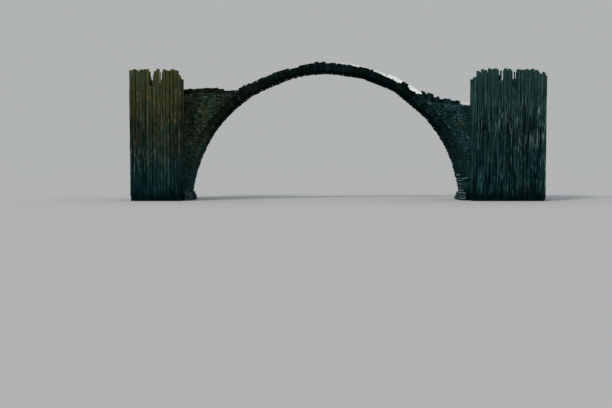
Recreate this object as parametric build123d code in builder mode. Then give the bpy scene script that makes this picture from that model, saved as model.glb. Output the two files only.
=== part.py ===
"""Stone moon bridge: a tall round arch of dark basalt rubble with a tower of basalt columns at each corner.

Frame: X along the bridge, Y across it, Z up, all in millimetres.
The water level is z = 0 and the middle of the whole footprint is x = 0, y = 0.
"""
from build123d import *
from math import acos, cos, degrees, hypot, radians, sin, sqrt
import os
import random

# Sizes of the arch, in millimetres
arch_radius = 9050.0
arch_centre_drop = 550.0
ring_depth_crown = 330.0
ring_depth_flank = 260.0
ring_depth_shoulder = 400.0
ring_depth_springing = 620.0
ring_stone_length = 350.0
soffit_step = 30.0
bridge_width = 2400.0
ring_face_course = 460.0
joint = 0.3

# Sizes of the path and its edge stones
path_width = 1700.0
paving_crown = 90.0
paving_left_flank = 160.0
paving_right_flank = 270.0
paving_approach = 130.0
paving_step = 30.0
edge_height = 105.0
edge_height_worn = 60.0
edge_bump = 75.0
edge_bump_angles = (-17.0, -6.6, -3.1, 17.6, 33.4)
edge_step = 36.0
verge_height = 160.0
verge_rise = 170.0
verge_stone_length = 420.0
approach_slab_length = 640.0
crown_half_angle = 15.0

# Sizes of the spandrels and the abutments, the levels measured down from the soffit of the crown
left_shoulder_run = 1050.0
left_shoulder_fall = 40.0
left_deck_drop = 1550.0
left_end_drop = 1560.0
right_shoulder_run = 1050.0
right_shoulder_fall = 430.0
right_deck_drop = 2150.0
right_end_drop = 2650.0
spandrel_foot = 350.0

# Sizes of the towers of basalt columns and of the stones at the feet of the arch
tower_left_setback = 213.0
tower_left_length = 3310.0
tower_left_back_setback = 560.0
tower_right_setback = 207.0
tower_right_length = 4670.0
tower_right_back_setback = 760.0
tower_depth = 1080.0
tower_height = 8440.0
tower_fringe = 260.0
front_notches = (0.381, 0.552)
back_notches = (0.484, 0.702)
notch_depths = (690.0, 1070.0)
notch_reach = 165.0
notch_slant = 0.25
tower_clearance = 120.0
footing_height = 420.0
footing_recess = 45.0
column_pitch = 215.0
column_step = 45.0
flute_angle = 50.0
flute_reach = 100.0
foot_heap_height = 760.0
foot_heap_reach = 430.0
face_step = 45.0

# Where the arch meets the water, and the middle of the footprint seen from the middle of the arch
water_half_span = sqrt(arch_radius**2 - arch_centre_drop**2)
soffit_level = arch_radius - arch_centre_drop
tower_left_start = water_half_span + tower_left_setback
tower_right_start = water_half_span + tower_right_setback
back_left_start = tower_left_start + tower_left_back_setback
back_right_start = tower_right_start + tower_right_back_setback
left_end = tower_left_start + tower_left_length
right_end = tower_right_start + tower_right_length
shift = (right_end - left_end) / 2
half_width = bridge_width / 2
half_path = path_width / 2
left_deck_level = soffit_level - left_deck_drop
right_deck_level = soffit_level - right_deck_drop


def eased(a, b, t):
    """The value between a and b at t from 0 to 1, with a level start and end."""
    t = min(max(t, 0.0), 1.0)
    return a + (b - a) * t * t * (3 - 2 * t)


def ring_depth(angle):
    """The depth of the arch ring at an angle from the crown, in degrees."""
    a = abs(angle)
    if a < 14:
        return eased(ring_depth_crown, ring_depth_flank, a / 14)
    if a < 40:
        return eased(ring_depth_flank, ring_depth_shoulder, (a - 14) / 26)
    return eased(ring_depth_shoulder, ring_depth_springing, (a - 40) / 46)


def polar(radius, angle):
    """A point of the XZ plane at a radius and an angle from the crown."""
    x = radius * sin(radians(angle)) - shift
    z = radius * cos(radians(angle)) - arch_centre_drop
    return (x, z)


def above(points, level):
    """The part of a convex outline that is above a level."""
    kept = []
    for i, p in enumerate(points):
        q = points[(i + 1) % len(points)]
        if p[1] >= level:
            kept.append(p)
        if (p[1] - level) * (q[1] - level) < 0:
            t = (level - p[1]) / (q[1] - p[1])
            kept.append((p[0] + (q[0] - p[0]) * t, level))
    return kept


def cut_cell(points, nx, ny, limit):
    """The part of a convex outline where nx * x + ny * y is at most limit."""
    kept = []
    for i, p in enumerate(points):
        q = points[(i + 1) % len(points)]
        dp = nx * p[0] + ny * p[1] - limit
        dq = nx * q[0] + ny * q[1] - limit
        if dp <= 0:
            kept.append(p)
        if dp * dq < 0:
            t = dp / (dp - dq)
            kept.append((p[0] + (q[0] - p[0]) * t, p[1] + (q[1] - p[1]) * t))
    return kept


def solid_of(outlines, y0, y1):
    """Outlines of the XZ plane, carried from y0 to y1 in the current part."""
    with BuildSketch(Plane((0, y0, 0), x_dir=(1, 0, 0), z_dir=(0, -1, 0))) as sketch:
        for outline in outlines:
            with BuildLine():
                Polyline(*outline, close=True)
            make_face()
    extrude(sketch.sketch, amount=y0 - y1)


# Joints between the ring's stones, as angles from the crown
foot_angle = degrees(acos(arch_centre_drop / (arch_radius + ring_depth_springing))) + 1.0
stone_count = 2 * round(radians(foot_angle) * arch_radius / ring_stone_length)
chance = random.Random(11)
stations = []
for number in range(stone_count + 1):
    wander = chance.uniform(-0.17, 0.17)
    stations.append((2 * (number + wander) / stone_count - 1) * foot_angle)
stations[stone_count // 2] = 0.0


def nearest_station(angle):
    """The number of the joint nearest an angle."""
    return min(range(len(stations)), key=lambda n: abs(stations[n] - angle))


def back_point(number, lift=0.0):
    """A point on the back of the ring at a joint, or above it by lift."""
    angle = stations[number]
    return polar(arch_radius + ring_depth(angle) + lift, angle)


def ring_stretch(name, first, last, seed):
    """A stretch of the arch ring: a jagged course of radial stones on each face of an even hearting."""
    chance = random.Random(seed)
    seam = half_width - ring_face_course
    close = degrees(joint / 2 / arch_radius)
    with BuildPart() as stretch:
        for course in (0, -1, 1):
            outlines = []
            for n in range(first, last):
                inner = arch_radius + (soffit_step / 2 if course == 0 else chance.uniform(0.0, soffit_step))
                if n in (foot_stone_left, foot_stone_right):
                    inner = arch_radius
                a0 = stations[n] + (close if n == first else 0.0)
                a1 = stations[n + 1] - (close if n == last - 1 else 0.0)
                o0 = arch_radius + ring_depth(stations[n]) - joint
                o1 = arch_radius + ring_depth(stations[n + 1]) - joint
                stone = above([polar(inner, a0), polar(o0, a0), polar(o1, a1), polar(inner, a1)], 0.0)
                if len(stone) > 2:
                    outlines.append(stone)
            if course == 0:
                solid_of(outlines, -seam, seam)
                continue
            for stone in outlines:
                face = course * (half_width - chance.uniform(0.0, face_step))
                solid_of([stone], *sorted((course * seam, face)))
    stretch.part.label = name
    export_step(stretch.part, f"parts/{name}.step")


def slabs_on_ring(name, first, last, heights, y0, y1, step, seed):
    """Slabs or edge stones on the back of the ring, each with its own height."""
    chance = random.Random(seed)
    outlines = []
    n = first
    while n < last:
        m = min(n + step, last)
        if last - m < step:
            m = last
        close = degrees(joint / 2 / arch_radius)
        a0 = stations[n] + (close if n == first else 0.0)
        a1 = stations[m] - (close if m == last else 0.0)
        lift = heights(stations[n], stations[m], chance)
        low = [polar(arch_radius + ring_depth(stations[n]), a0)]
        low += [back_point(k) for k in range(n + 1, m)]
        low += [polar(arch_radius + ring_depth(stations[m]), a1)]
        top0 = polar(arch_radius + ring_depth(stations[n]) + lift, a0)
        top1 = polar(arch_radius + ring_depth(stations[m]) + lift, a1)
        slab = cut_cell([top0, *low, top1], -1, 0, -back_point(deck_left)[0])
        outlines.append(cut_cell(slab, 1, 0, back_point(deck_right)[0]))
        n = m
    solid_of(outlines, y0, y1)


def first_station(side, level):
    """The first joint, going down from the crown on one side, where the ring's back is below a level."""
    n = stone_count // 2
    while back_point(n)[1] > level:
        n += side
    return n - side


def lowest_stone(side):
    """The lowest ring stone on one side with its soffit wholly above the water."""
    n = 0 if side < 0 else stone_count
    while polar(arch_radius, stations[n])[1] < 0:
        n -= side
    return n if side < 0 else n - 1


# Joints where the stretches of the ring, the path and the spandrels meet
crown_left = nearest_station(-crown_half_angle)
crown_right = nearest_station(crown_half_angle)
deck_left = first_station(-1, left_deck_level + left_shoulder_fall)
deck_right = first_station(1, right_deck_level + right_shoulder_fall)
haunch_left = nearest_station(-62)
haunch_right = nearest_station(62)
foot_stone_left = lowest_stone(-1)
foot_stone_right = lowest_stone(1)
last_station = stone_count

os.makedirs("parts", exist_ok=True)

# The arch ring, from the left springing over the crown to the right springing
ring_stretch("ring_left_foot", 0, haunch_left, 21)
ring_stretch("ring_left_haunch", haunch_left, deck_left, 22)
ring_stretch("ring_left_flank", deck_left, crown_left, 23)
ring_stretch("ring_crown", crown_left, crown_right, 24)
ring_stretch("ring_right_flank", crown_right, deck_right, 25)
ring_stretch("ring_right_haunch", deck_right, haunch_right, 26)
ring_stretch("ring_right_foot", haunch_right, last_station, 27)


def deck_line(side):
    """The top of the masonry beside the arch, from the ring's back to the outer end."""
    if side < 0:
        start = back_point(deck_left)
        end = (-left_end - shift, soffit_level - left_end_drop)
        shoulder = (start[0] - left_shoulder_run, left_deck_level)
    else:
        start = back_point(deck_right)
        end = (right_end - shift, soffit_level - right_end_drop)
        shoulder = (start[0] + right_shoulder_run, right_deck_level)
    seam = side * spandrel_end - shift
    t = (seam - shoulder[0]) / (end[0] - shoulder[0])
    return [start, shoulder, (seam, shoulder[1] + (end[1] - shoulder[1]) * t), end]


spandrel_end = water_half_span + ring_depth_springing + spandrel_foot


def water_point(side):
    """Where the back of the ring meets the water, and the joints above the water."""
    order = range(0, deck_left + 1) if side < 0 else range(last_station, deck_right - 1, -1)
    points = [back_point(n) for n in order]
    for i in range(len(points) - 1):
        p, q = points[i], points[i + 1]
        if p[1] < 0 <= q[1]:
            t = -p[1] / (q[1] - p[1])
            return [(p[0] + (q[0] - p[0]) * t, 0.0)] + points[i + 1:]
    return points


# The spandrels and the abutments, one mass of rubble each
for side, word in ((-1, "left"), (1, "right")):
    deck = deck_line(side)
    end = side * spandrel_end - shift
    outer = side * (left_end if side < 0 else right_end) - shift
    with BuildPart() as spandrel:
        solid_of([[*water_point(side), deck[1], deck[2], (end, 0.0)]], -half_width, half_width)
    spandrel.part.label = f"spandrel_{word}"
    export_step(spandrel.part, f"parts/spandrel_{word}.step")
    with BuildPart() as abutment:
        start = end + side * joint
        solid_of([[(start, 0.0), (start, deck[2][1]), deck[3], (outer, 0.0)]], -half_width, half_width)
    abutment.part.label = f"abutment_{word}"
    export_step(abutment.part, f"parts/abutment_{word}.step")


def paving_height(base, flank):
    """A rule for the height of the slabs: base at the crown, flank beyond it."""
    def rule(a0, a1, chance):
        t = (abs(a0 + a1) / 2 - crown_half_angle) / 10
        return eased(base, flank, t) + chance.uniform(-0.5, 0.5) * paving_step
    return rule


def edge_rule(height):
    """A rule for the height of the edge stones: taller at a few angles, and elsewhere as given."""
    def rule(a0, a1, chance):
        tall = any(min(a0, a1) < angle <= max(a0, a1) for angle in edge_bump_angles)
        return (edge_height + edge_bump if tall else height) + chance.uniform(-0.5, 0.5) * edge_step
    return rule


# The paving of the path over the arch
paving = (("path_left_flank", deck_left, crown_left, paving_left_flank, 31),
          ("path_crown", crown_left, crown_right, paving_crown, 32),
          ("path_right_flank", crown_right, deck_right, paving_right_flank, 33))
for name, first, last, flank, seed in paving:
    with BuildPart() as path:
        rule = paving_height(paving_crown, flank)
        slabs_on_ring(name, first, last, rule, joint - half_path, half_path - joint, 2, seed)
    path.part.label = name
    export_step(path.part, f"parts/{name}.step")


def along(line, x):
    """The height of a line of points at x."""
    for p, q in zip(line, line[1:]):
        if min(p[0], q[0]) <= x <= max(p[0], q[0]):
            return p[1] + (q[1] - p[1]) * (x - p[0]) / (q[0] - p[0])
    return line[-1][1]


def slabs_on_deck(side, x0, x1, length, height, rise, y0, y1, seed):
    """Slabs or edge stones on the masonry beside the arch, from x0 out to x1."""
    chance = random.Random(seed)
    line = deck_line(side)
    count = max(1, round(abs(x1 - x0) / length))
    cuts = [x0]
    for n in range(1, count):
        cuts.append(x0 + (x1 - x0) * (n + chance.uniform(-0.2, 0.2)) / count)
    cuts.append(x1)
    outlines = []
    for a, b in zip(cuts, cuts[1:]):
        corners = sorted((p for p in line if min(a, b) < p[0] < max(a, b)), reverse=a > b)
        low = [(a, along(line, a)), *corners, (b, along(line, b))]
        low = [(x, z + joint) for x, z in low]
        lift = height + chance.uniform(0, rise)
        fall = max(z for _, z in low) - min(z for _, z in low)
        top = max(z for _, z in low) + max(lift - fall / 2, lift / 3)
        outlines.append([(a, top), *low, (b, top)])
    solid_of(outlines, y0, y1)


# The paving of the level approaches, narrow beside the edge stones and full between the towers
for side, word in ((-1, "left"), (1, "right")):
    line = deck_line(side)
    inner = line[0][0] + side * joint
    tower = back_left_start if side < 0 else back_right_start
    gate = side * (tower - tower_clearance) - shift
    outer = side * (left_end if side < 0 else right_end) - shift
    with BuildPart() as approach:
        slabs_on_deck(side, inner, gate, approach_slab_length, paving_approach, paving_step,
                      joint - half_path, half_path - joint, 41)
        slabs_on_deck(side, gate, outer, approach_slab_length, paving_approach, paving_step,
                      -half_width, half_width, 42)
    approach.part.label = f"path_{word}_approach"
    export_step(approach.part, f"parts/path_{word}_approach.step")

# The edge stones along both sides of the path
for sign, face in ((-1, "front"), (1, "back")):
    y0, y1 = sorted((sign * half_path, sign * half_width))
    with BuildPart() as crown_edge:
        slabs_on_ring("edge", crown_left, crown_right, edge_rule(edge_height), y0, y1, 2, 50 + sign)
    crown_edge.part.label = f"edge_crown_{face}"
    export_step(crown_edge.part, f"parts/edge_crown_{face}.step")
    for side, word in ((-1, "left"), (1, "right")):
        first, last = (deck_left, crown_left) if side < 0 else (crown_right, deck_right)
        line = deck_line(side)
        tower = back_left_start if side < 0 else back_right_start
        gate = side * (tower - tower_clearance - joint) - shift
        with BuildPart() as edge:
            rule = edge_rule(edge_height if side < 0 else edge_height_worn)
            slabs_on_ring("edge", first, last, rule, y0, y1, 2, 60 + side + 3 * sign)
        edge.part.label = f"edge_{word}_flank_{face}"
        export_step(edge.part, f"parts/edge_{word}_flank_{face}.step")
        with BuildPart() as verge:
            inner = line[0][0] + side * joint
            slabs_on_deck(side, inner, gate, verge_stone_length, verge_height, verge_rise,
                          y0, y1, 70 + side + 3 * sign)
        verge.part.label = f"edge_{word}_approach_{face}"
        export_step(verge.part, f"parts/edge_{word}_approach_{face}.step")


def outward_ways(row, place, per_row):
    """The directions, in degrees, in which a column stands at an outer side of its tower."""
    ways = []
    if row == 0:
        ways.append(-90.0)
    if place == 0:
        ways.append(180.0)
    if place == per_row - 1:
        ways.append(0.0)
    return ways


def column_cells(length, depth, seed):
    """Six-sided column outlines that fill length by depth, as rows from the outer face inwards."""
    chance = random.Random(seed)
    rows = max(3, round(depth / (column_pitch * 0.87)))
    per_row = max(4, round(length / column_pitch))
    seeds = []
    for r in range(-1, rows + 1):
        for c in range(-1, per_row + 1):
            x = (c + (0.27 if r % 2 else 0.73)) * length / per_row + chance.uniform(-0.2, 0.2) * column_pitch
            y = (r + 0.5) * depth / rows + chance.uniform(-0.16, 0.16) * column_pitch
            seeds.append((x, y, r, c))
    cells = []
    for x, y, r, c in seeds:
        if not (0 <= r < rows and 0 <= c < per_row):
            continue
        w = column_pitch * 1.2
        cell = [(x - w, y - w), (x + w, y - w), (x + w, y + w), (x - w, y + w)]
        for u, v, _, _ in seeds:
            d = hypot(u - x, v - y)
            if 0 < d < 3 * column_pitch:
                nx, ny = (u - x) / d, (v - y) / d
                cell = cut_cell(cell, nx, ny, nx * x + ny * y + d / 2 - joint / 2)
        cell = cut_cell(cell, 0, 1, depth)
        cell = cut_cell(cell, -1, 0, 0.0)
        cell = cut_cell(cell, 1, 0, length)
        cell = cut_cell(cell, 0, -1, -chance.choice((0.0, 0.4, 0.7, 1.0)) * column_step)
        for way in outward_ways(r, c, per_row):
            for slant in (-flute_angle, flute_angle):
                nx, ny = cos(radians(way + slant)), sin(radians(way + slant))
                cell = cut_cell(cell, nx, ny, nx * x + ny * y + flute_reach)
        cells.append((cell, r, rows, x, y))
    return cells


def crest(x, depth, length, row, rows, notches, chance):
    """The height of a column at x from the tower's inner end, lower at the ends and in two notches."""
    t = x / length
    top = tower_height - abs(chance.gauss(0, 0.35)) * tower_fringe
    if t < 0.12:
        top -= (0.12 - t) / 0.12 * 2.6 * tower_fringe
    if t > 0.93:
        top -= chance.uniform(0.3, 1.6) * tower_fringe
    for place, drop in zip(notches, notch_depths):
        if abs(x - place * length - notch_slant * depth) < notch_reach:
            top -= drop
    if 0 < row < rows - 1:
        top -= chance.uniform(0.2, 2.0) * tower_fringe
    return top


# The four towers: a footing at the water line and rows of upright basalt columns on it
towers = ((-1, "left", "front", tower_left_start), (-1, "left", "back", back_left_start),
          (1, "right", "front", tower_right_start), (1, "right", "back", back_right_start))
inner_y = half_width + joint
for side, word, face, start in towers:
    sign = -1 if face == "front" else 1
    length = (left_end if side < 0 else right_end) - start
    notches = front_notches if face == "front" else back_notches
    x0, x1 = sorted((side * start - shift, side * (start + length) - shift))
    with BuildPart() as footing:
        with BuildSketch():
            with Locations(((x0 + x1) / 2, sign * (inner_y + (tower_depth - footing_recess) / 2))):
                Rectangle(length - 2 * footing_recess, tower_depth - footing_recess)
        extrude(amount=footing_height)
    footing.part.label = f"footing_{word}_{face}"
    export_step(footing.part, f"parts/footing_{word}_{face}.step")
    seed = 100 + 10 * side + sign
    cells = column_cells(length, tower_depth, seed)
    chance = random.Random(seed + 500)
    groups = {"outer": [], "heart": [], "path": []}
    for cell, row, rows, x, y in cells:
        depth = y if face == "front" else tower_depth - y
        group = "outer" if row == 0 else "path" if row == rows - 1 else "heart"
        corners = [(side * (start + u) - shift, sign * (inner_y + tower_depth - v)) for u, v in cell]
        groups[group].append((corners, crest(x, depth, length, row, rows, notches, chance)))
    for group, columns in groups.items():
        name = f"columns_{word}_{face}_{group}"
        with BuildPart() as row_of_columns:
            for corners, top in columns:
                with BuildSketch(Plane.XY.offset(footing_height + joint)):
                    with BuildLine():
                        Polyline(*corners, close=True)
                    make_face()
                extrude(amount=top - footing_height - joint)
        row_of_columns.part.label = name
        export_step(row_of_columns.part, f"parts/{name}.step")

# The heaps of stones at the feet of the arch, against its soffit at the water line
for side, word in ((-1, "left"), (1, "right")):
    near = 0 if side < 0 else stone_count
    chance = random.Random(90 + side)
    cuts = [-half_width]
    while cuts[-1] < half_width - 1.5 * foot_heap_reach:
        cuts.append(cuts[-1] + foot_heap_reach * chance.uniform(0.8, 1.25))
    cuts.append(half_width)
    with BuildPart() as heap:
        for y0, y1 in zip(cuts, cuts[1:]):
            top = foot_heap_height * chance.uniform(0.6, 1.0)
            reach = foot_heap_reach * chance.uniform(0.6, 1.0)
            outer_line = []
            inner_line = []
            n = near
            while polar(arch_radius, stations[n])[1] < top:
                level = polar(arch_radius, stations[n])[1]
                thick = reach * (1.0 - 0.8 * max(level, 0.0) / top)
                outer_line.append(polar(arch_radius - joint, stations[n]))
                inner_line.append(polar(arch_radius - thick, stations[n]))
                n -= side
            outline = above(outer_line + inner_line[::-1], 0.0)
            solid_of([outline], y0, y1)
    heap.part.label = f"foot_stones_{word}"
    export_step(heap.part, f"parts/foot_stones_{word}.step")
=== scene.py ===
"""Stone moon bridge: the masonry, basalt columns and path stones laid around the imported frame."""

import math
import random

import bmesh
import bpy
import numpy as np
from bpy.props import FloatProperty, FloatVectorProperty, IntProperty, PointerProperty
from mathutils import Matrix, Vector


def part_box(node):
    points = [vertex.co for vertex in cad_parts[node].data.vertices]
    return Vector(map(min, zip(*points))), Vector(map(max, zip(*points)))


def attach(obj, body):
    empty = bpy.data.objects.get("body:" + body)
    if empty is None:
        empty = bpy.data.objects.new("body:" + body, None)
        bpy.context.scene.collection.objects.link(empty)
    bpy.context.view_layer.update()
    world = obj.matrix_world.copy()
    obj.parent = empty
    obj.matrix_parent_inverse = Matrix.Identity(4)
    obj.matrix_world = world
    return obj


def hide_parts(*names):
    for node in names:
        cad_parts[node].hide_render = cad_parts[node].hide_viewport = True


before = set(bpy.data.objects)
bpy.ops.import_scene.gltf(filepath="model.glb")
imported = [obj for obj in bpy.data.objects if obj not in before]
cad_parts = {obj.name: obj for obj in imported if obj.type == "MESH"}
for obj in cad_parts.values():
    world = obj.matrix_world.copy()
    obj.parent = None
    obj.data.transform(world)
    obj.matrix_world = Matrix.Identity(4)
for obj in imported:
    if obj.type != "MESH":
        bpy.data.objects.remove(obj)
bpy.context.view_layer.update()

bl_info = {
    "name": "Stone moon bridge",
    "version": (1, 0, 0),
    "blender": (4, 5, 0),
    "location": "3D View > Sidebar > Moon Bridge",
    "description": "Lays the stones, columns and path of a moon bridge around its frame",
    "category": "Object",
}

LEFT_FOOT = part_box("ring_left_foot")
RIGHT_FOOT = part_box("ring_right_foot")
ARCH_X = (LEFT_FOOT[0].x + RIGHT_FOOT[1].x) / 2
FACE_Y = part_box("spandrel_left")[1].y
SIDES = ("left", "right")
FACES = ("front", "back")


def metres(text, default):
    """A length that a user may change."""
    return FloatProperty(name=text, default=default, min=0.0, unit="LENGTH")


def colour(text, default):
    """A stone colour that a user may change."""
    return FloatVectorProperty(
        name=text, default=default, size=3, subtype="COLOR", min=0.0, max=1.0)


class BridgeSizes(bpy.types.PropertyGroup):
    """Sizes of the arch and of its stones."""
    arch_radius: metres("Radius of the soffit", 9.05)
    centre_drop: metres("Depth of the arch's centre below the water line", 0.55)
    depth_crown: metres("Depth of the ring at its crown", 0.33)
    depth_flank: metres("Depth of the ring 14 degrees from the crown", 0.26)
    depth_shoulder: metres("Depth of the ring 40 degrees from the crown", 0.40)
    depth_springing: metres("Depth of the ring at its foot", 0.62)
    ring_stone: metres("Usual thickness of a ring stone", 0.235)
    pale_foot_angle: FloatProperty(
        name="Pale foot", default=75.6, min=0.0, max=90.0,
        description="Degrees from the crown where the right foot's pale slabs begin")
    ring_layer: metres("Usual depth of a face stone of the ring", 0.30)
    ring_width: metres("Usual width of a ring stone across the bridge", 0.46)
    rubble_stone: metres("Usual size of a stone in the walls", 0.23)
    path_stone: metres("Usual size of a stone in the path", 0.33)
    edge_stone: metres("Usual length of an edge stone", 0.32)
    edge_rise: metres("Height of the edge stones above the ring", 0.105)
    edge_rise_tall: metres("Height of the few tall edge stones", 0.19)
    joint: metres("Width of the joints between stones", 0.014)
    shoulder_run: metres("Length of the steep run at each end of the arch", 1.05)
    left_drop: metres("Depth of the left approach below the crown's soffit", 1.55)
    left_fall: metres("Fall of the left approach out to its end", 0.01)
    right_drop: metres("Depth of the right approach below the crown's soffit", 2.15)
    right_fall: metres("Fall of the right approach out to its end", 0.50)
    stub: metres("Usual width of the stubs under the towers", 0.20)
    # Pale column faces: partly lichen, partly a painted highlight of the sky
    sheen_face_share: FloatProperty(
        name="Pale share", default=0.04, min=0.0, max=1.0, subtype="FACTOR",
        description="Share of the column faces that are pale")
    drum: metres("Usual length of a piece of column between its cracks", 0.85)
    seed: IntProperty(name="Seed", description="Seed of every irregular size", default=7, min=0)


class BridgeColours(bpy.types.PropertyGroup):
    """Colours of the stones."""
    ring_dark: colour("Darkest ring stone", (0.0012, 0.0038, 0.0034))
    ring_light: colour("Lightest ring stone", (0.0120, 0.0330, 0.0320))
    rubble_dark: colour("Darkest wall stone", (0.0010, 0.0062, 0.0066))
    rubble_light: colour("Lightest wall stone", (0.030, 0.104, 0.112))
    column_dark: colour("Darkest basalt", (0.0014, 0.0095, 0.0105))
    column_light: colour("Palest basalt face", (0.035, 0.097, 0.101))
    # Pale streaks down the columns: partly lichen, partly a painted highlight of the sky on their
    # faces
    streak_highlight: colour("Thin pale streaks down the columns", (0.150, 0.228, 0.222))
    # The palest stones: partly pale stone, partly painted glints of wet stone on the right foot's
    # slabs
    pale: colour("The few palest stones of the whole bridge", (0.140, 0.210, 0.225))
    foot_dark: colour("Darkest stone at the feet of the arch", (0.004, 0.011, 0.012))
    # The pale foot stones are partly pale stone, partly painted glints of wet stone
    foot_light: colour("Palest stone at the feet of the arch", (0.085, 0.135, 0.150))
    path_dark: colour("Dark path stone", (0.16, 0.17, 0.16))
    # The path's pale end: partly worn stone, partly a painted sheen of the sky that whitens its
    # front stones and upward faces
    path_light: colour("Worn path stone", (0.93, 0.95, 0.96))
    moss: colour("Moss on the damp stones", (0.014, 0.026, 0.005))
    olive: colour("Old moss in the streaks of the columns", (0.030, 0.037, 0.010))
    olive_tint: FloatVectorProperty(
        name="Olive tint", default=(2.3, 0.95, 0.40), size=3, min=0.0, max=4.0,
        description="How old moss changes the stones on the left side")
    ground: colour("Studio floor", (0.47, 0.47, 0.465))


def sizes():
    """The sizes that the user set."""
    return bpy.context.scene.moon_bridge_sizes


def colours():
    """The colours that the user set."""
    return bpy.context.scene.moon_bridge_colours


def chance_for(*words):
    """A source of chance of its own for each piece, the same on every run."""
    return random.Random(f"{sizes().seed} " + " ".join(map(str, words)))


# Shape of the arch

FLANK_ANGLE = 14.0
SHOULDER_ANGLE = 40.0
SPRINGING_ANGLE = 86.0


def held(t):
    """A value held between 0 and 1."""
    return min(max(t, 0.0), 1.0)


def eased(a, b, t):
    """The value between a and b, with a level start and end."""
    t = held(t)
    return a + (b - a) * t * t * (3 - 2 * t)


def fade(x, a, b, start, length):
    """The value at x on the way from a at a start to b a length farther on."""
    return eased(a, b, (x - start) / length)


def pairs(items):
    """Each two that follow one another."""
    return zip(items, items[1:])


def on_line(line, x):
    """The value at x on a line of places and values, level beyond its ends."""
    if x <= line[0][0]:
        return line[0][1]
    for (x0, v0), (x1, v1) in pairs(line):
        if x <= x1:
            return v0 + (v1 - v0) * (x - x0) / (x1 - x0)
    return line[-1][1]


def slope_at(line, x):
    """The steepness of a line at x."""
    return (on_line(line, x + 0.05) - on_line(line, x - 0.05)) / 0.1


def ring_depth(angle):
    """The depth of the ring at an angle from the crown, in degrees."""
    s = sizes()
    a = abs(angle)
    if a < FLANK_ANGLE:
        return fade(a, s.depth_crown, s.depth_flank, 0.0, FLANK_ANGLE)
    if a < SHOULDER_ANGLE:
        return fade(a, s.depth_flank, s.depth_shoulder, FLANK_ANGLE, SHOULDER_ANGLE - FLANK_ANGLE)
    return fade(a, s.depth_shoulder, s.depth_springing, SHOULDER_ANGLE,
                SPRINGING_ANGLE - SHOULDER_ANGLE)


def polar(radius, angle, y):
    """A point at a radius and an angle from the crown, at y across the bridge."""
    a = math.radians(angle)
    return (ARCH_X + radius * math.sin(a), y, radius * math.cos(a) - sizes().centre_drop)


def angle_at(x):
    """The angle from the crown at which the back of the ring stands at x."""
    angle = 0.0
    for _ in range(12):
        back = sizes().arch_radius + ring_depth(angle)
        angle = math.degrees(math.asin(max(-1.0, min(1.0, (x - ARCH_X) / back))))
    return angle


# Making meshes

FACE_SPREAD = 0.05  # How much the tones of one stone's faces differ
# The two numbers that shape the chance of each kind of stone's tone
TONES = {"ring": (1.3, 2.4), "edge": (1.3, 2.4), "spandrel": (1.1, 2.6), "abutment": (1.2, 2.4),
         "path": (1.8, 1.8), "foot": (1.6, 1.6), "stub": (1.2, 3.5),
         "left_column": (9.0, 28.0), "right_column": (5.0, 15.0)}


def tone_of(kind, chance):
    """A tone from 0 to 1, dark to light, for a stone of a kind."""
    return chance.betavariate(*TONES[kind])


def deselect():
    """Leaves nothing selected, so that an operator acts only on its own piece."""
    if bpy.context.object and bpy.context.object.mode != "OBJECT":
        bpy.ops.object.mode_set(mode="OBJECT")
    bpy.ops.object.select_all(action="DESELECT")


def rough_stones(count=12, chips=7, edge_share=0.6, reaches=(0.80, 0.92), weld=0.02, rough=0.022):
    """Broken stones in a unit cube, each a cube with some of its corners and edges knocked off."""
    chance = chance_for("rough stones")
    stones = []
    for _ in range(count):
        deselect()
        bpy.ops.mesh.primitive_cube_add(size=1.0)
        stone = bpy.context.object
        shape = bmesh.new()
        shape.from_mesh(stone.data)
        for _ in range(chips):
            way = Vector([chance.choice((-1, 1)) * chance.uniform(0.45, 1.0) for _ in range(3)])
            if chance.random() < edge_share:
                way[chance.randrange(3)] *= 0.15
            reach = 0.5 * sum(map(abs, way)) * chance.uniform(*reaches)
            cut = bmesh.ops.bisect_plane(
                shape, geom=shape.verts[:] + shape.edges[:] + shape.faces[:],
                plane_co=way * reach / way.length_squared, plane_no=way, clear_outer=True)
            rim = [e for e in cut["geom_cut"] if isinstance(e, bmesh.types.BMEdge)]
            bmesh.ops.contextual_create(shape, geom=rim)
        bmesh.ops.remove_doubles(shape, verts=shape.verts, dist=weld)
        bmesh.ops.triangulate(shape, faces=shape.faces)
        for vert in shape.verts:
            vert.co += Vector([chance.uniform(-rough, rough) for _ in range(3)])
        bmesh.ops.recalc_face_normals(shape, faces=shape.faces)
        shape.verts.ensure_lookup_table()
        points = np.array([v.co for v in shape.verts]) + 0.5
        faces = [tuple(v.index for v in f.verts) for f in shape.faces]
        stones.append((points, faces))
        shape.free()
        bpy.data.objects.remove(stone)
    return stones


ROUGH_STONES = []


class Heap:
    """The points, faces and tones of a piece that is made of many stones."""

    def __init__(self):
        self.points = []
        self.faces = []
        self.tones = []

    def add(self, points, faces, tone):
        """Adds one stone, with one tone or a tone for each face."""
        first = len(self.points)
        self.points.extend(map(tuple, points))
        self.faces.extend(tuple(first + i for i in face) for face in faces)
        self.tones.extend(tone if isinstance(tone, list) else [tone] * len(faces))

    def add_block(self, corners, chance, tone):
        """Adds a rough stone that fills eight corners, the lower four first."""
        points, faces = chance.choice(ROUGH_STONES)
        turn = chance.randrange(4)
        if turn in (1, 2):
            points = np.column_stack((1 - points[:, 0], 1 - points[:, 1], points[:, 2]))
        if turn in (2, 3):
            points = np.column_stack((points[:, 0], 1 - points[:, 1], 1 - points[:, 2]))
        u, v, w = points[:, 0:1], points[:, 1:2], points[:, 2:3]
        c = np.array(corners, float)
        low = (1 - v) * ((1 - u) * c[0] + u * c[1]) + v * ((1 - u) * c[3] + u * c[2])
        high = (1 - v) * ((1 - u) * c[4] + u * c[5]) + v * ((1 - u) * c[7] + u * c[6])
        tones = [max(0.0, tone + chance.gauss(0, FACE_SPREAD)) for _ in faces]
        self.add((1 - w) * low + w * high, faces, tones)


def begin(node, *words):
    """A piece's own chance, its empty heap and the box of the CAD node it stands for."""
    return (chance_for(*(words or (node,))), Heap(), *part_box(node))


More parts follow.
